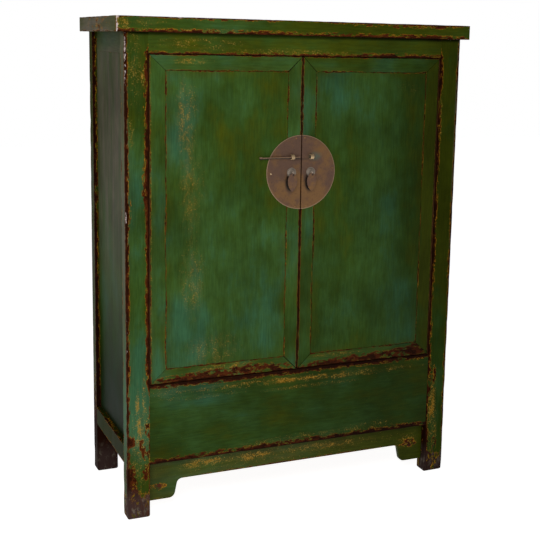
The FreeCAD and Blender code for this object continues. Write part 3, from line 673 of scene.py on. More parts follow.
def dent(point, depth):
    """Depth of the knocks in an edge at a point: long shallow ones, and small sharp ones."""
    long_knock = max(0.0, noise.noise(point * LONG_KNOCK_SCALE) - LONG_KNOCK_START)
    short_knock = max(0.0, noise.noise(point * SHORT_KNOCK_SCALE) - SHORT_KNOCK_START)
    return depth * (long_knock + SHORT_KNOCK_SHARE * short_knock)


def quarter_turn(steps):
    return [math.pi / 2 * step / steps for step in range(steps + 1)]


def rounded_end(radius, edge_round):
    """Distances from the end of a bar, each with how far its section is drawn in there."""
    if radius == 0.0:
        return [(step * edge_round, 0.0) for step in PLAIN_END_STEPS]
    return [(radius * (1 - math.cos(turn)), radius * (1 - math.sin(turn))) for turn in quarter_turn(END_STEPS)]


def bar_mesh(name, low, high, along, round_radius, end_rounds=(0.0, 0.0), ends=None, crisp=None):
    """A bar with rounded, dented edges, lofted along one axis.

    ends gives where a slanting end starts and stops; crisp tells which edges stay sharp, at a flush joint.
    """
    timber = bpy.context.scene.cabinet_timber
    across, up = [axis for axis in (X, Y, Z) if axis != along]
    middle, half = (low + high) / 2, (high - low) / 2
    length = high[along] - low[along]

    section = []
    for quarter, signs in enumerate(((1, 1), (-1, 1), (-1, -1), (1, -1))):
        for step in range(CORNER_STEPS + 1):
            angle = math.pi / 2 * (quarter + step / CORNER_STEPS)
            section.append((*signs, math.cos(angle), math.sin(angle)))

    first, last = (rounded_end(radius, timber.edge_round) for radius in end_rounds)
    start, stop = first[-1][0], length - last[-1][0]
    count = max(2, round((stop - start) / timber.dent_pitch))
    inner = [(start + (stop - start) * step / count, 0.0) for step in range(1, count)]
    stations = first + inner + [(length - offset, inset) for offset, inset in reversed(last)]

    bm = bmesh.new()
    rings = []
    for offset, inset in stations:
        ring = []
        for sign_a, sign_b, cosine, sine in section:
            sharp = crisp and crisp(low[along] + offset, sign_a, sign_b)
            radius = CRISP_ROUND if sharp else round_radius
            place = Vector(low)
            place[across] = middle[across] + sign_a * (half[across] - inset - radius) + radius * cosine
            place[up] = middle[up] + sign_b * (half[up] - inset - radius) + radius * sine
            begin, end = ends(place) if ends else (low[along], high[along])
            place[along] = begin + (end - begin) * offset / length
            knock = 0.0 if sharp else dent(place, timber.dent_depth) * math.sqrt(0.5)
            place[across] -= sign_a * knock
            place[up] -= sign_b * knock
            ring.append(bm.verts.new(place))
        rings.append(ring)
    skin(bm, rings)
    bm.faces.new(rings[0])
    bm.faces.new(rings[-1])
    return mesh_from(name, bm)


def replace_bar(node, along, material, round_radius, limits, **shape):
    """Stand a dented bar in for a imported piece."""
    mesh = bar_mesh(f"{node}_worn", *limits, along, round_radius, **shape)
    return weigh_normals(stand_in(node, mesh, material))


def round_upright_corners(mesh, low, high, radius):
    """Draw the upright corners of a plan in to a radius."""
    for vertex in mesh.vertices:
        centre = [min(max(vertex.co[axis], low[axis] + radius), high[axis] - radius) for axis in (X, Y)]
        offset = Vector((vertex.co.x - centre[X], vertex.co.y - centre[Y]))
        if offset.length > radius:
            offset *= radius / offset.length
            vertex.co.x = centre[X] + offset.x
            vertex.co.y = centre[Y] + offset.y


def turned(bm, profile, centre, steps):
    """Turn a profile of (height, radius) about an axis that points forward from the centre."""
    axis = Vector((0, -1, 0))
    side = axis.orthogonal().normalized()
    other = axis.cross(side)
    rings = []
    for height, radius in profile:
        base = Vector(centre) + axis * height
        angles = [math.tau * step / steps for step in range(steps if radius else 1)]
        rings.append([
            bm.verts.new(base + (side * math.cos(angle) + other * math.sin(angle)) * radius) for angle in angles])
    skin(bm, rings)


DOME_STEPS = 6
BOSS_STEPS = 8
FLANGE_RADIUS_SHARE = 0.80
FLANGE_HEIGHT_SHARE = 0.22
LIP_RADIUS_SHARE, LIP_HEIGHT_SHARE = 0.985, 0.7


def dome_profile(radius, height):
    """Profile of a shallow dome with a flat back."""
    curve = [(height * math.sin(turn), radius * math.cos(turn)) for turn in quarter_turn(DOME_STEPS)]
    return [(0.0, 0.0)] + curve[:-1] + [(height, 0.0)]


def boss_profile(radius, height):
    """Profile of a boss: a thin flange that rises into a dome."""
    flange, dome_radius = height * FLANGE_HEIGHT_SHARE, radius * FLANGE_RADIUS_SHARE
    curve = [(flange + (height - flange) * math.sin(turn), dome_radius * math.cos(turn))
             for turn in quarter_turn(BOSS_STEPS)]
    lip = (flange * LIP_HEIGHT_SHARE, radius * LIP_RADIUS_SHARE)
    return [(0.0, 0.0), (0.0, radius), lip] + curve[:-1] + [(height, 0.0)]


PLATE_RINGS = 22
PLATE_TURNS = 56
PLATE_RIM = 0.0012
RIM_BREAK = PLATE_RIM * 0.3
BROAD_BEAT_SCALE, FINE_BEAT_SCALE = 30, 85


def half_moon(node, sign, ripple):
    """A half disc, uneven in front, with a rounded rim and a flat back."""
    low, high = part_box(node)
    inner = min(abs(low.x), abs(high.x))
    front, back = low.y, high.y
    bm = bmesh.new()

    def reach(turn):
        return math.sqrt(PLATE_RADIUS ** 2 - (inner * math.sin(turn)) ** 2) - inner * math.cos(turn)

    def spot(turn, distance, y):
        return Vector((sign * (inner + distance * math.cos(turn)), y, PLATE_MIDDLE + distance * math.sin(turn)))

    def beaten(turn, distance):
        place = spot(turn, distance, front)
        wave = noise.noise(place * BROAD_BEAT_SCALE) + 0.5 * noise.noise(place * FINE_BEAT_SCALE)
        place.y += max(0.0, 0.5 + 0.5 * wave) * ripple
        return bm.verts.new(place)

    turns = [math.pi * (step / PLATE_TURNS - 0.5) for step in range(PLATE_TURNS + 1)]
    rings = [[beaten(0.0, 0.0)]]
    for step in range(1, PLATE_RINGS):
        rings.append([beaten(turn, step / PLATE_RINGS * (reach(turn) - PLATE_RIM)) for turn in turns])
    edges = ((PLATE_RIM, front + ripple / 2), (RIM_BREAK, front + RIM_BREAK), (0.0, front + PLATE_RIM), (0.0, back))
    for inset, y in edges:
        rings.append([bm.verts.new(spot(turn, reach(turn) - inset, y)) for turn in turns])
    skin(bm, rings, closed=False)
    bm.faces.new(rings[-1])
    bm.faces.new([ring[0] for ring in reversed(rings)] + [ring[-1] for ring in rings[1:]])
    return mesh_from(f"{node}_beaten", bm)


# Carcass

# How far past a flush joint the limits of a piece's wear lie, so that no edge wears there
BEYOND = 0.2
AT_ENDS = Vector((BEYOND, 0.0, 0.0))
AT_TOP = Vector((0.0, 0.0, BEYOND))

# The last two flaked places of each front post keep its joints with the rails whole
POST_LOOKS = {
    "front_left_post": looks(
        FRONT_FACE, shade=0.82, flaked=[
            (-POST_OUTER, 0.9, 0.015, 0.018, 3.0, 0.72), (-POST_OUTER + 0.01, 1.027, 0.018, 0.012, 0.07, 0.4),
            (-POST_INNER, 1.3, 0.022, 0.05, 0.6, 0.8), (-POST_INNER, 0.7, 0.02, 0.05, 0.6, 0.72),
            (-0.541, 1.1, 0.012, 0.01, 0.11, 0.5), (-0.532, 0.31, 0.015, 0.012, 0.045, 0.75),
            (-0.585, 0.27, 0.022, 0.012, 0.03, 0.62), (-0.552, 0.256, 0.022, 0.012, 0.028, 0.62),
            (-0.541, 0.224, 0.016, 0.012, 0.034, 0.55), (-0.585, 0.13, 0.04, 0.04, 0.085, 0.8),
            (-0.538, 0.16, 0.02, 0.02, 0.044, 0.62), (-0.562, 0.02, 0.1, 0.1, 0.105, 0.85),
            (-POST_INNER, 1.57, 0.035, 0.12, 0.05, -1.1), (-POST_INNER, 0.35, 0.012, 0.12, 0.12, -0.7),
        ], scuffed=[
            (-0.566, 0.415, 0.01, 0.02, 0.08, 0.85), (-0.543, 0.425, 0.01, 0.02, 0.085, 0.85),
            (-0.558, 0.325, 0.012, 0.02, 0.07, 0.72), (-0.552, 0.27, 0.055, 0.02, 0.17, 0.5),
            (-0.56, 0.16, 0.04, 0.02, 0.06, 0.5), (-0.572, 1.48, 0.04, 0.02, 0.15, 0.46),
            (-POST_OUTER, 1.52, 0.009, 0.01, 0.16, 0.85), (-0.54, 1.455, 0.014, 0.02, 0.05, 0.6),
            (-0.58, 1.28, 0.014, 0.02, 0.06, 0.55),
        ], chalked=[
            (-POST_OUTER, 1.51, 0.007, 0.012, 0.17, 0.4), (-POST_OUTER, 1.03, 0.008, 0.012, 0.08, 0.3),
            (-POST_OUTER, 0.62, 0.006, 0.01, 0.2, 0.26),
        ], shaded=[
            # The first shaded place, a dark band just under the top, is a painted shadow
            (0.0, RAIL_TOP, 2.0, 0.08, 0.014, -0.6), (-0.56, 0.42, 0.1, 0.1, 0.3, 0.17),
            (-0.56, 1.46, 0.1, 0.1, 0.3, -0.09),
        ], tinted=[
            (-0.56, 0.42, 0.1, 0.1, 0.32, 0.38), (-0.56, 0.98, 0.1, 0.1, 0.3, 0.12),
            (-0.56, 1.45, 0.1, 0.1, 0.34, -0.24),
        ]),
    "front_right_post": looks(
        FRONT_FACE, hue=-0.11, shade=0.43, flaked=[
            (POST_INNER - 0.006, 1.05, 0.026, 0.05, 2.0, 0.62), (POST_OUTER + 0.008, 1.0, 0.022, 0.03, 3.0, 0.6),
            (0.553, 0.375, 0.012, 0.01, 0.055, 0.62), (0.534, 0.372, 0.012, 0.01, 0.045, 0.55),
            (0.53, 0.315, 0.016, 0.01, 0.034, 0.68), (0.562, 0.112, 0.016, 0.012, 0.036, 0.55),
            (POST_INNER, 0.12, 0.022, 0.05, 0.12, 0.8), (0.562, 0.01, 0.1, 0.1, 0.1, 0.85),
            (POST_INNER, 1.57, 0.035, 0.12, 0.05, -1.1), (POST_INNER, 0.35, 0.012, 0.12, 0.12, -0.45),
        ], scuffed=[
            (0.53, 0.412, 0.014, 0.02, 0.035, 0.85), (0.546, 0.3, 0.022, 0.02, 0.15, 0.66),
            (0.546, 0.19, 0.03, 0.02, 0.14, 0.62), (0.566, 0.15, 0.014, 0.02, 0.05, 0.6),
            (0.532, 1.33, 0.012, 0.02, 0.24, 0.55),
        ],
        # The shaded place, a dark band just under the top, is a painted shadow
        shaded=[(0.0, RAIL_TOP, 2.0, 0.08, 0.014, -0.35)], tinted=[(0.56, 1.2, 0.1, 0.1, 0.8, -0.12)]),
    "back_left_post": {"hue": -0.2, "shade": 0.5, "flaked": (
        Place((-POST_OUTER, 0.21, 0.02), (0.2, 0.2, 0.42), 1.3),
        Place((-POST_OUTER, 0.192, 0.9), (0.02, 0.015, 3.0), 0.75))},
    "back_right_post": {
        "hue": -0.2, "shade": 0.5, "flaked": (Place((POST_OUTER, 0.21, 0.02), (0.2, 0.2, 0.42), 1.3),)},
}


class CABINET_OT_posts(bpy.types.Operator):
    """Posts with dented edges and worn feet"""
    bl_idname = "cabinet.posts"
    bl_label = "Posts"

    def execute(self, context):
        timber = context.scene.cabinet_timber
        opening_bottom, opening_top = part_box("sill_rail")[1].z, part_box("front_top_rail")[0].z
        for seed, (node, wear) in enumerate(POST_LOOKS.items()):
            low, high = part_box(node)
            high.z = RAIL_TOP
            inner = 1 if low.x < 0 else -1
            # Aged grey and a painted sheen on the outer side face of each post
            faded = (Place((-inner * POST_OUTER, -0.18, 1.25), (0.014, 0.42, 0.85), 0.85),)
            material = lacquer(
                node, low, high + AT_TOP, Z, edge_wear=0.01, seed=seed * 3.7, gloss=0.006, faded=faded, **wear)

            def flush_edge(height, sign_x, sign_y):
                beside_rail = height > opening_top or BOARD_BOTTOM < height < opening_bottom
                return beside_rail and sign_x == inner and sign_y < 0

            replace_bar(
                node, Z, material, timber.edge_round, (low, high), end_rounds=(timber.foot_round, 0.0),
                crisp=flush_edge if node.startswith("front") else None)
        return {"FINISHED"}


RAIL_EDGE = DOOR_TOP + DOOR_GAP
RAIL_LOOKS = looks(
    FRONT_FACE, edge_wear=0.008, hue=-0.15, shade=0.9, seed=2.3,
    flaked=[(0.0, RAIL_EDGE - 0.008, 2.0, 0.04, 0.027, 0.62), (0.36, RAIL_EDGE, 0.28, 0.03, 0.024, 0.36)],
    scuffed=[(-0.05, RAIL_EDGE + 0.012, 0.4, 0.02, 0.014, 0.4), (-0.36, 1.56, 0.2, 0.02, 0.026, 0.45)],
    tinted=[(0.45, 1.56, 0.5, 0.1, 0.2, -0.1)],
    shaded=[
        (0.5, 1.56, 0.6, 0.1, 0.3, -0.22), (0.57, 1.56, 0.14, 0.1, 0.3, -0.14),
        # The last shaded place, a dark band just under the top, is a painted shadow
        (0.0, RAIL_TOP, 2.0, 0.08, 0.014, -0.55)])


class CABINET_OT_rails(bpy.types.Operator):
    """Rails between the posts"""
    bl_idname = "cabinet.rails"
    bl_label = "Rails"

    def execute(self, context):
        timber = context.scene.cabinet_timber
        low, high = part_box("front_top_rail")
        low = Vector((-POST_INNER, low.y, RAIL_EDGE)) - AT_ENDS
        high = Vector((POST_INNER, high.y, RAIL_TOP)) + AT_ENDS + AT_TOP
        dress("front_top_rail", lacquer("front_top_rail", low, high, X, **RAIL_LOOKS), timber.fine_round)
        for side, sign in SIDES.items():
            outer = sign * POST_OUTER
            node = f"{side}_bottom_rail"
            low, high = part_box(node)
            low.y, high.y = SIDE_FRONT, SIDE_BACK
            material = lacquer(
                node, low, high, Y, edge_wear=0.006, hue=-0.2, shade=0.28, seed=5.0 + sign, gloss=0.002,
                flaked=(Place((outer, 0.0, high.z), (0.03, 0.22, 0.01), 0.3),))
            replace_bar(node, Y, material, timber.edge_round, (low, high))
            node = f"{side}_top_rail"
            # Aged grey and a painted sheen along the side top rail
            dress(node, lacquer(
                node, *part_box(node), Y, edge_wear=0.0005, hue=0.03, shade=0.6, seed=9.0 + sign, gloss=0.012,
                faded=(Place((outer, -0.05, 1.2), (0.05, 0.55, 0.8), 0.95),)))
        return {"FINISHED"}


SILL_EDGE = DOOR_BOTTOM - DOOR_GAP
BOARD_LOOKS = looks(
    FRONT_FACE, edge_wear=0.009, hue=-0.09, shade=0.68, seed=1.7, fringe=0.55, flaked=[
        (0.02, BOARD_BOTTOM, 2.0, 0.03, 0.028, 0.88), (-0.45, BOARD_BOTTOM, 0.12, 0.03, 0.024, 0.14),
        (0.0, SILL_EDGE, 2.0, 0.05, 0.024, 0.7), (-0.2, SILL_EDGE - 0.004, 0.16, 0.03, 0.022, 0.22),
    ], scuffed=[
        (-0.12, 0.422, 0.36, 0.02, 0.016, 0.72), (0.22, 0.418, 0.36, 0.02, 0.018, 0.56),
        (-0.46, 0.425, 0.1, 0.02, 0.024, 0.34), (0.06, 0.392, 0.24, 0.02, 0.01, 0.38),
        (-0.36, 0.4, 0.24, 0.02, 0.014, 0.26), (-0.02, BOARD_BOTTOM + 0.022, 0.3, 0.02, 0.022, 0.4),
        (0.3, BOARD_BOTTOM + 0.03, 0.2, 0.02, 0.022, 0.32),
    ],
    tinted=[(-0.36, 0.41, 0.34, 0.05, 0.07, 0.2)], shaded=[(0.5, 0.3, 0.7, 0.1, 0.6, -0.26)])


class CABINET_OT_boards(bpy.types.Operator):
    """Lower front board, side panels, back panel and bottom board"""
    bl_idname = "cabinet.boards"
    bl_label = "Boards"

    def execute(self, context):
        timber = context.scene.cabinet_timber
        low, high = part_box("lower_front_board")
        low.x, high.x = -POST_INNER, POST_INNER
        high.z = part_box("sill_rail")[0].z
        shown_high = Vector((high.x, high.y, SILL_EDGE)) + AT_ENDS
        board = lacquer("lower_front", low - AT_ENDS, shown_high, X, **BOARD_LOOKS)
        dress("sill_rail", board)
        replace_bar(
            "lower_front_board", X, board, timber.edge_round, (low, high),
            crisp=lambda along, sign_y, sign_z: sign_z > 0)
        for side, sign in SIDES.items():
            node = f"{side}_side_panel"
            low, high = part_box(node)
            low.y, high.y = SIDE_FRONT, SIDE_BACK
            low.z, high.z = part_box(f"{side}_bottom_rail")[1].z, RAIL_TOP
            outer = sign * POST_OUTER
            smudge = (outer, -0.155, 1.46), (0.05, 0.035, 0.09)
            # Aged grey and a painted sheen over the upper side, darker towards the bottom, and a dark stain near the
            # top front
            material = lacquer(
                node, low, high, Z, edge_wear=0.004, hue=0.03, shade=0.6, seed=9.0 + sign, gloss=0.003,
                flaked=(Place((outer, -0.17, low.z), (0.05, 0.1, 0.03), 0.4),),
                faded=(Place((outer, -0.05, 1.32), (0.05, 0.6, 0.9), 1.0), Place(*smudge, -0.6)),
                shaded=(Place((outer, 0.0, 0.2), (0.1, 0.6, 0.6), -0.46), Place(*smudge, -0.2)))
            dress(node, material, timber.fine_round)
        dress("back_panel", plain_timber("back_panel", Z, 0.55))
        dress("bottom_board", plain_timber("bottom_board", X, 0.8))
        for node in ("back_top_rail", "back_bottom_rail", "front_bottom_rail"):
            dress(node, plain_timber(node, X, 0.55), timber.fine_round)
        return {"FINISHED"}


APRON_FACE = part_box("front_apron")[0].y
APRON_ARCH = 0.110
APRON_ROUND_SHARE = 0.7
APRON_LOOKS = looks(
    APRON_FACE, edge_wear=0.006, hue=-0.18, shade=0.92, seed=6.4, flaked=[
        (0.0, APRON_ARCH, 0.6, 0.03, 0.009, 0.66), (-0.49, 0.092, 0.05, 0.02, 0.022, 0.42),
        (0.47, 0.115, 0.045, 0.02, 0.026, 0.5),
    ], scuffed=[
        (-0.148, 0.152, 0.09, 0.02, 0.02, 0.72), (-0.33, 0.154, 0.13, 0.02, 0.022, 0.74),
        (0.12, 0.15, 0.24, 0.02, 0.018, 0.44), (0.46, 0.12, 0.055, 0.02, 0.036, 0.6),
        (0.0, 0.145, 0.7, 0.02, 0.045, 0.2),
    ],
    tinted=[(0.45, 0.14, 0.5, 0.1, 0.3, -0.14)], faded=[(-0.3, 0.14, 0.8, 0.1, 0.3, 0.16)],
    shaded=[(0.45, 0.14, 0.6, 0.1, 0.3, -0.36)])


class CABINET_OT_apron(bpy.types.Operator):
    """Shaped apron between the legs"""
    bl_idname = "cabinet.apron"
    bl_label = "Apron"

    def execute(self, context):
        low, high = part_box("front_apron")
        material = lacquer("front_apron", low - AT_ENDS, high + AT_ENDS + AT_TOP, X, **APRON_LOOKS)
        dress("front_apron", material, context.scene.cabinet_timber.edge_round * APRON_ROUND_SHARE)
        return {"FINISHED"}


TOP_FLAKED = (Place((TOP_LOW.x, 0.0, TOP_MIDDLE), (0.03, 0.3, 0.04), 0.24),)
# Aged grey and a painted sheen on the ends of the top
TOP_ENDS = {
    side: {"hue": -0.35, "shade": 0.74, "flaked": TOP_FLAKED, "faded": (
        Place((sign * TOP_HIGH.x, 0.0, TOP_MIDDLE), (0.012, 0.4, 0.2), 1.05),)} for side, sign in SIDES.items()}
TOP_LOOKS = {
    "front": looks(
        TOP_LOW.y, hue=-0.08, shade=0.88, flaked=[
            (0.0, TOP_LOW.z - 0.01, 3.0, 0.04, 0.032, 0.73), (0.45, TOP_LOW.z, 0.35, 0.04, 0.016, 0.12),
            (0.4, TOP_HIGH.z + 0.008, 0.5, 0.04, 0.032, 0.66), (-0.3, TOP_HIGH.z + 0.008, 0.6, 0.04, 0.024, 0.58),
            (TOP_LOW.x, TOP_MIDDLE, 0.01, 0.016, 0.06, 0.4),
        ], scuffed=[
            (-0.3, TOP_LOW.z + 0.008, 0.5, 0.02, 0.01, 0.45), (TOP_LOW.x, TOP_MIDDLE, 0.014, 0.014, 0.06, 1.0),
            (TOP_LOW.x + 0.02, TOP_MIDDLE, 0.034, 0.03, 0.03, 0.6),
            (TOP_LOW.x + 0.1, TOP_LOW.z + 0.03, 0.08, 0.03, 0.016, 0.3),
        ],
        chalked=[(TOP_LOW.x, TOP_MIDDLE, 0.013, 0.013, 0.06, 0.62), (-0.35, TOP_HIGH.z, 0.5, 0.008, 0.006, 0.36)],
        shaded=[(0.5, TOP_HIGH.z, 0.6, 0.1, 0.1, -0.12)],
        tinted=[(-0.3, TOP_HIGH.z, 0.4, 0.1, 0.1, 0.1), (0.35, TOP_HIGH.z, 0.4, 0.1, 0.1, -0.14)]),
    "back": {"shade": 0.7, "flaked": TOP_FLAKED},
    **TOP_ENDS,
}


class CABINET_OT_top(bpy.types.Operator):
    """Mitred frame of the top, its panel and the battens under it"""
    bl_idname = "cabinet.top"
    bl_label = "Top"

    def execute(self, context):
        timber = context.scene.cabinet_timber
        for seed, (where, wear) in enumerate(TOP_LOOKS.items()):
            node = f"top_{where}_member"
            low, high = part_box(node)
            along, across = (Y, X) if where in SIDES else (X, Y)
            outer_line = (TOP_LOW if where in ("front", "left") else TOP_HIGH)[across]

            def ends(place):
                slant = abs(place[across] - outer_line)
                return low[along] + slant, high[along] - slant

            material = lacquer(
                node, TOP_LOW, TOP_HIGH, along, edge_wear=0.0055, seed=11.0 + seed, gloss=0.012, **wear)
            piece = replace_bar(node, along, material, timber.edge_round, (low, high), ends=ends)
            round_upright_corners(piece.data, TOP_LOW, TOP_HIGH, timber.corner_round)
        material = lacquer(
            "top_panel", *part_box("top_panel"), X, edge_wear=0.006, hue=-0.02, shade=0.85, seed=15.0, gloss=0.012,
            scuffed=(Place((-0.1, 0.0, TOP_HIGH.z), (0.3, 0.14, 0.05), 0.35),))
        dress("top_panel", material, timber.fine_round)
        dress("top_battens", plain_timber("top_battens", Y))
        return {"FINISHED"}


class CABINET_OT_inside(bpy.types.Operator):
    """Shelf, bearers and loose floor boards"""
    bl_idname = "cabinet.inside"
    bl_label = "Inside"

    def execute(self, context):
        grains = {
            "shelf": X, "left_floor_board": X, "right_floor_board": X, "shelf_back_bearer": X,
            "floor_back_bearer": X, "shelf_side_bearers": Y, "floor_side_bearers": Y, "floor_middle_bearer": Y,
        }
        for node, grain in grains.items():
            dress(node, plain_timber(node, grain), context.scene.cabinet_timber.fine_round)
        return {"FINISHED"}


# Doors

MITRE_GAP = 0.0015
PANEL_TONGUE = Vector((0.008, 0.0, 0.008))
FRAME_GRAINS = {"hinge_stile": Z, "meeting_stile": Z, "top_rail": X, "bottom_rail": X}

# What both doors share: their edges, the shade that lies over them, and the tints of their frames
DOORS_SHADED = on_face(
    DOOR_FACE, (0.54, 1.0, 0.36, 0.1, 1.4, -0.26), (-0.12, 0.62, 0.2, 0.1, 0.3, -0.12),
    (-0.42, 1.02, 0.16, 0.1, 0.2, -0.1), (0.22, 0.95, 0.17, 0.1, 0.36, 0.11))
DOOR_TONES = {
    "left": {"edge_wear": 0.0036, "hue": 0.03, "shade": 0.9, "shaded": DOORS_SHADED},
    "right": {"edge_wear": 0.0036, "hue": 0.0, "shade": 0.72, "shaded": DOORS_SHADED},
}
FRAMES_TINTED = on_face(
    DOOR_FACE, (0.5, 1.0, 0.05, 0.1, 1.4, -0.18), (0.2, 1.505, 0.1, 0.1, 0.05, -0.18),
    (0.42, 1.505, 0.1, 0.1, 0.05, -0.12), (-0.02, 1.3, 0.06, 0.1, 0.3, 0.14),
    (-0.49, 0.62, 0.08, 0.1, 0.26, 0.18))
DOOR_LOOKS = {
    "left_door_hinge_stile": looks(
        DOOR_FACE, flaked=[(-DOOR_OUTER, 0.99, 0.008, 0.03, 2.0, 0.52)],
        scuffed=[(-0.518, 0.99, 0.006, 0.03, 0.9, 0.6)]),
    "left_door_meeting_stile": looks(
        DOOR_FACE, fringe=0.9, flaked=[(-DOOR_INNER, 0.99, 0.006, 0.03, 2.0, 0.58)]),
    "left_door_top_rail": looks(DOOR_FACE, fringe=0.55, scuffed=[(-0.38, 1.504, 0.09, 0.02, 0.014, 0.65)]),
    "left_door_bottom_rail": looks(
        DOOR_FACE, fringe=0.35, scuffed=[(-0.25, 0.494, 0.14, 0.02, 0.014, 0.8)], flaked=[
            (-0.43, DOOR_BOTTOM, 0.12, 0.02, 0.034, 0.78), (-0.29, 0.468, 0.15, 0.02, 0.034, 0.74),
            (-0.16, 0.476, 0.11, 0.02, 0.03, 0.66), (-0.065, 0.47, 0.07, 0.02, 0.026, 0.68)]),
    "left_door_panel": looks(
        DOOR_FACE, fringe=0.45, scuffed=[
            (-0.4, 1.33, 0.05, 0.02, 0.17, 0.5), (-0.385, 1.09, 0.06, 0.02, 0.19, 0.36),
            (-0.38, 0.8, 0.06, 0.02, 0.17, 0.4), (-0.3, 0.56, 0.14, 0.02, 0.07, 0.34),
        ], tinted=[
            (-0.42, 1.34, 0.12, 0.05, 0.24, 0.14), (-0.4, 0.62, 0.16, 0.05, 0.26, 0.16),
            (-0.44, 1.05, 0.1, 0.05, 0.18, -0.14), (-0.22, 1.08, 0.24, 0.05, 0.3, -0.1)]),
    "right_door_hinge_stile": looks(
        DOOR_FACE, flaked=[(DOOR_OUTER, 0.99, 0.008, 0.03, 2.0, 0.52)],
        scuffed=[(0.518, 0.99, 0.006, 0.03, 0.9, 0.45)]),
    "right_door_meeting_stile": looks(
        DOOR_FACE, fringe=0.9, flaked=[(DOOR_INNER, 0.99, 0.006, 0.03, 2.0, 0.58)]),
    "right_door_top_rail": {"fringe": 0.55},
    "right_door_bottom_rail": looks(
        DOOR_FACE, fringe=0.18, scuffed=[(0.15, 0.494, 0.14, 0.02, 0.012, 0.6)], flaked=[
            (0.09, DOOR_BOTTOM, 0.14, 0.02, 0.03, 0.76), (0.22, 0.466, 0.15, 0.02, 0.03, 0.72),
            (0.37, 0.472, 0.16, 0.02, 0.03, 0.74), (0.48, 0.482, 0.07, 0.02, 0.036, 0.7)]),
    "right_door_panel": looks(
        DOOR_FACE, fringe=0.45, scuffed=[(0.4, 1.42, 0.06, 0.02, 0.06, 0.12)], tinted=[
            (0.12, 1.4, 0.16, 0.05, 0.2, 0.2), (0.12, 0.66, 0.16, 0.05, 0.26, 0.06),
            (0.46, 1.1, 0.14, 0.05, 0.4, -0.2), (0.4, 0.62, 0.14, 0.05, 0.22, 0.1)]),
}


def breadth(node, axis):
    low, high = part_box(node)
    return high[axis] - low[axis]


def mitred_ends(side, sign):
    """For each bar of a door's mitred frame, what gives the start and stop of its slanting ends."""
    outer, inner = sign * DOOR_OUTER, sign * DOOR_INNER
    hinge, meeting = (breadth(f"{side}_door_{stile}", X) for stile in ("hinge_stile", "meeting_stile"))
    rail = breadth(f"{side}_door_top_rail", Z)

    def stile_ends(place):
        slant = abs(place.x - inner) / meeting * rail + MITRE_GAP
        return DOOR_BOTTOM + slant, DOOR_TOP - slant

    def rail_ends(outer_line):
        def ends(place):
            share = abs(place.z - outer_line) / rail
            return sorted((
                outer - sign * (share * hinge + MITRE_GAP), inner + sign * (share * meeting + MITRE_GAP)))
        return ends

    return {"meeting_stile": stile_ends, "top_rail": rail_ends(DOOR_TOP), "bottom_rail": rail_ends(DOOR_BOTTOM)}


class CABINET_OT_doors(bpy.types.Operator):
    """Mitred door frames, panels and the battens behind them"""
    bl_idname = "cabinet.doors"
    bl_label = "Doors"

    def execute(self, context):
        timber = context.scene.cabinet_timber
        for side, sign in SIDES.items():
            tones, shapes = DOOR_TONES[side], mitred_ends(side, sign)
            for seed, (part, grain) in enumerate(FRAME_GRAINS.items()):
                node = f"{side}_door_{part}"
                low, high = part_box(node)
                low.y, high.y = DOOR_FACE, DOOR_BACK
                low.z, high.z = max(low.z, DOOR_BOTTOM), min(high.z, DOOR_TOP)
                material = lacquer(
                    node, low, high, grain, seed=20.0 + seed + 5 * sign, tinted=FRAMES_TINTED, **tones,
                    **DOOR_LOOKS[node])
                if part in shapes:
                    replace_bar(node, grain, material, timber.edge_round / 2, (low, high), ends=shapes[part])
                else:
                    dress(node, material, timber.fine_round)
            node = f"{side}_door_panel"
            low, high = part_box(node)
            material = lacquer(
                node, low + PANEL_TONGUE, high - PANEL_TONGUE, Z, seed=30.0 + 4.3 * sign, **tones,
                **DOOR_LOOKS[node])
            dress(node, material, timber.fine_round)
            node = f"{side}_door_battens"
            dress(node, plain_timber(node, X), timber.fine_round)
        return {"FINISHED"}


# Metalwork

NAIL_SINK = 0.0002
BRIGHT_NAIL = (-0.109, 1.139)
NAILS = {"left": (BRIGHT_NAIL, (-0.02, 1.256), (-0.02, 1.028)),
         "right": ((0.116, 1.154), (0.012, 1.258), (0.02, 1.028))}


class CABINET_OT_moon_plates(bpy.types.Operator):
    """Beaten half-moon plates and their nails"""
    bl_idname = "cabinet.moon_plates"
    bl_label = "Moon plates"

    def execute(self, context):
        metal = context.scene.cabinet_metal
        # Painted shadows on the plate: a dark crescent beside each hanging leaf, and a dark line just under the pin
        shadow_behind_leaves = [(sign * PULL_OFFSET - 0.003, 1.108, 0.024, 0.02, 0.041, 1.8) for sign in SIDES.values()]
        shadow_under_pin = (0.0, 1.186, 0.07, 0.02, 0.006, 0.35)
        plate = aged_metal(
            "brown_plate", metal.plate, metal.plate_warm, 22.0,
            bloom=on_face(PLATE_FACE, (0.05, 1.195, 0.032, 0.03, 0.02, 0.9)),
            grime=on_face(PLATE_FACE, *shadow_behind_leaves, shadow_under_pin),
            rubbed=on_face(
                PLATE_FACE, (0.03, 1.05, 0.14, 0.02, 0.11, 0.16), (-0.05, 1.2, 0.14, 0.02, 0.09, -0.08)))
        rub_rim_and_paint_highlight(plate, metal.rim)
        nail = aged_metal(
            "nail_head", metal.plate_warm * 1.2, metal.brass, 3.0, rubbed=on_face(
                PLATE_FACE, (*BRIGHT_NAIL, 0.012, 0.01, 0.012, 0.9), (0.0, PLATE_MIDDLE, 0.8, 0.2, 0.8, -0.3)))
        for side, sign in SIDES.items():
            node = f"{side}_moon_plate"
            stand_in(node, half_moon(node, sign, metal.plate_ripple), plate)
            bm = bmesh.new()
            for x, z in NAILS[side]:
                head = dome_profile(metal.nail_radius, metal.nail_height)
                turned(bm, head, (x, PLATE_FACE + NAIL_SINK, z), metal.round_steps // 2)
            mesh = mesh_from(f"{side}_plate_nails", bm)
            mesh.materials.append(nail)
            link_mesh(mesh, f"{side}_door", slot_of("lock_pin"))
        return {"FINISHED"}


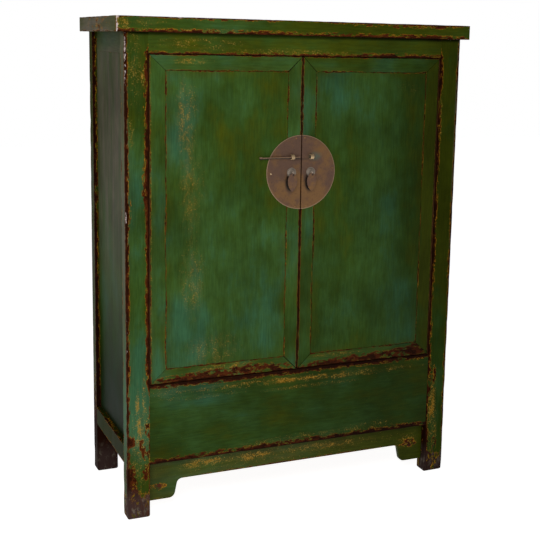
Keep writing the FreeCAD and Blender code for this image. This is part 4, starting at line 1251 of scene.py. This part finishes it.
class CABINET_OT_pulls(bpy.types.Operator):
    """Domed bosses, rings and hanging leaves"""
    bl_idname = "cabinet.pulls"
    bl_label = "Pulls"

    def execute(self, context):
        metal = context.scene.cabinet_metal
        bronze = aged_metal("grey_bronze", metal.bronze * 0.75, metal.bronze, 70.0, metallic=0.6)
        worn_ring = aged_metal("worn_ring", metal.bronze, metal.bronze * 1.8, 70.0, metallic=0.6)
        for side, sign in SIDES.items():
            # Painted shade in the hole at the top of each leaf
            eye_hole_shade = on_face(PLATE_FACE, (sign * PULL_OFFSET + 0.003, 1.134, 0.005, 0.03, 0.006, 1.0))
            leaf = aged_metal(f"{side}_leaf", metal.plate * 1.15, metal.plate_warm * 1.1, 40.0, grime=eye_hole_shade)
            node = f"{side}_pull_boss"
            low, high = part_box(node)
            middle = (low + high) / 2
            bm = bmesh.new()
            profile = boss_profile((high.x - low.x) / 2, high.y - low.y)
            turned(bm, profile, (middle.x, high.y, middle.z), metal.round_steps)
            stand_in(node, mesh_from(f"{node}_domed", bm), bronze)
            dress(f"{side}_pull", leaf, metal.leaf_round)
            dress(f"{side}_pull_ring", worn_ring, metal.ring_round)
        return {"FINISHED"}


class CABINET_OT_lock(bpy.types.Operator):
    """Staples and the sliding pin"""
    bl_idname = "cabinet.lock"
    bl_label = "Lock"

    def execute(self, context):
        metal = context.scene.cabinet_metal
        low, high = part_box("lock_pin")
        pin_x, pin_y, pin_z = (low + high) / 2
        # The pin is painted lighter along its top as a painted highlight, and darker along its underside as painted
        # shade
        bronze = aged_metal(
            "pin_bronze", metal.pin * 0.6, metal.pin * 2.6, 60.0, metallic=0.6,
            grime=on_face(pin_y, (pin_x, pin_z - 0.0035, 0.5, 0.05, 0.0045, 0.85)),
            rubbed=on_face(
                pin_y, (pin_x, pin_z + 0.0035, 0.5, 0.05, 0.004, 0.5),
                (pin_x, pin_z - 0.001, 0.5, 0.05, 0.004, -0.2)))
        brass = aged_metal("rubbed_brass", metal.brass * 0.8, metal.brass, 60.0)
        for node, material in {"left_staple": brass, "right_staple": brass, "lock_pin": bronze}.items():
            dress(node, material, metal.leaf_round)
        return {"FINISHED"}


# Stage

WHITE = (1, 1, 1, 1)
FLOOR_STEPS = 8
FLOOR_PATCH_SHADE = 0.985

# Where each light stands, how large it is, and where all of them point
LIGHTS = {"key": ((-1.7, -2.5, 2.5), 1.6), "side": ((-3.6, 1.6, 1.9), 2.2)}
LIGHT_TARGET = Vector((0.0, 0.0, 0.8))


class CABINET_OT_stage(bpy.types.Operator):
    """Camera, pale floor and soft light"""
    bl_idname = "cabinet.stage"
    bl_label = "Stage"

    def execute(self, context):
        stage = context.scene.cabinet_stage
        self.make_camera(context, stage)
        self.make_floor(stage)
        self.make_light(context, stage)
        context.scene.view_settings.view_transform = "Standard"
        return {"FINISHED"}

    def make_camera(self, context, stage):
        shift_x, shift_y = stage.camera_shift
        camera = link(set_up(
            bpy.data.cameras.new("camera"), sensor_fit="HORIZONTAL", lens=stage.camera_lens, shift_x=shift_x,
            shift_y=shift_y))
        turns = ((-stage.camera_yaw, "Z"), (math.pi / 2 + stage.camera_pitch, "X"), (stage.camera_roll, "Z"))
        place = Matrix.Translation(stage.camera_place)
        for angle, axis in turns:
            place @= Matrix.Rotation(angle, 4, axis)
        camera.matrix_world = place
        context.scene.camera = camera

    def make_floor(self, stage):
        bm = bmesh.new()
        bmesh.ops.create_grid(bm, x_segments=FLOOR_STEPS, y_segments=FLOOR_STEPS, size=stage.floor_size / 2)
        mesh = mesh_from("floor", bm)
        material, recipe = new_material("pale_floor")
        patches = recipe.noise(recipe.point(), 1.5, 3.0)
        shade = recipe.blend(patches, stage.floor_colour * FLOOR_PATCH_SHADE, stage.floor_colour)
        finish_surface(material, recipe, shade, 0.9, patches, FLOOR_RELIEF, gloss=0.1)
        recipe.feed(surface(material), {"Emission Color": WHITE, "Emission Strength": stage.floor_glow})
        mesh.materials.append(material)
        floor = link(mesh)

    def make_light(self, context, stage):
        world = bpy.data.worlds.new("studio")
        context.scene.world = world
        world.use_nodes = True
        recipe = Recipe(world.node_tree)
        seen = recipe.field("ShaderNodeLightPath", "Is Camera Ray")
        recipe.feed(world.node_tree.nodes["Background"].inputs, {
            "Color": WHITE, "Strength": seen.ease(0.0, 1.0, stage.surround, stage.backdrop)})
        for name, (place, size) in LIGHTS.items():
            power = getattr(stage, f"{name}_power")
            lamp = link(set_up(bpy.data.lights.new(name, "AREA"), size=size, energy=power))
            turn = (LIGHT_TARGET - Vector(place)).to_track_quat("-Z", "Y")
            set_up(lamp, location=place, rotation_mode="QUATERNION", rotation_quaternion=turn)


GROUPS = {
    "cabinet_timber": CabinetTimber, "cabinet_lacquer": CabinetLacquer,
    "cabinet_metal": CabinetMetal, "cabinet_stage": CabinetStage,
}
OPERATORS = (
    CABINET_OT_posts, CABINET_OT_rails, CABINET_OT_boards, CABINET_OT_apron, CABINET_OT_top, CABINET_OT_inside,
    CABINET_OT_doors, CABINET_OT_moon_plates, CABINET_OT_pulls, CABINET_OT_lock, CABINET_OT_stage,
)


class CABINET_PT_sidebar(bpy.types.Panel):
    """Sizes, colours and makers of the cabinet"""
    bl_idname = "CABINET_PT_sidebar"
    bl_label = "Worn Lacquer Cabinet"
    bl_space_type = "VIEW_3D"
    bl_region_type = "UI"
    bl_category = "Cabinet"

    def draw(self, context):
        for operator in OPERATORS:
            self.layout.operator(operator.bl_idname)
        for name, group in GROUPS.items():
            box = self.layout.box()
            for key in group.__annotations__:
                box.prop(getattr(context.scene, name), key)


CLASSES = (*GROUPS.values(), *OPERATORS, CABINET_PT_sidebar)


def register():
    for cls in CLASSES:
        bpy.utils.register_class(cls)
    for name, group in GROUPS.items():
        setattr(bpy.types.Scene, name, PointerProperty(type=group))


def unregister():
    for name in GROUPS:
        delattr(bpy.types.Scene, name)
    for cls in reversed(CLASSES):
        bpy.utils.unregister_class(cls)


def main():
    register()
    bpy.ops.cabinet.posts()
    bpy.ops.cabinet.rails()
    bpy.ops.cabinet.boards()
    bpy.ops.cabinet.apron()
    bpy.ops.cabinet.top()
    bpy.ops.cabinet.inside()
    bpy.ops.cabinet.doors()
    bpy.ops.cabinet.moon_plates()
    bpy.ops.cabinet.pulls()
    bpy.ops.cabinet.lock()
    bpy.ops.cabinet.stage()
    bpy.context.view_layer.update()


if __name__ == "__main__":
    main()
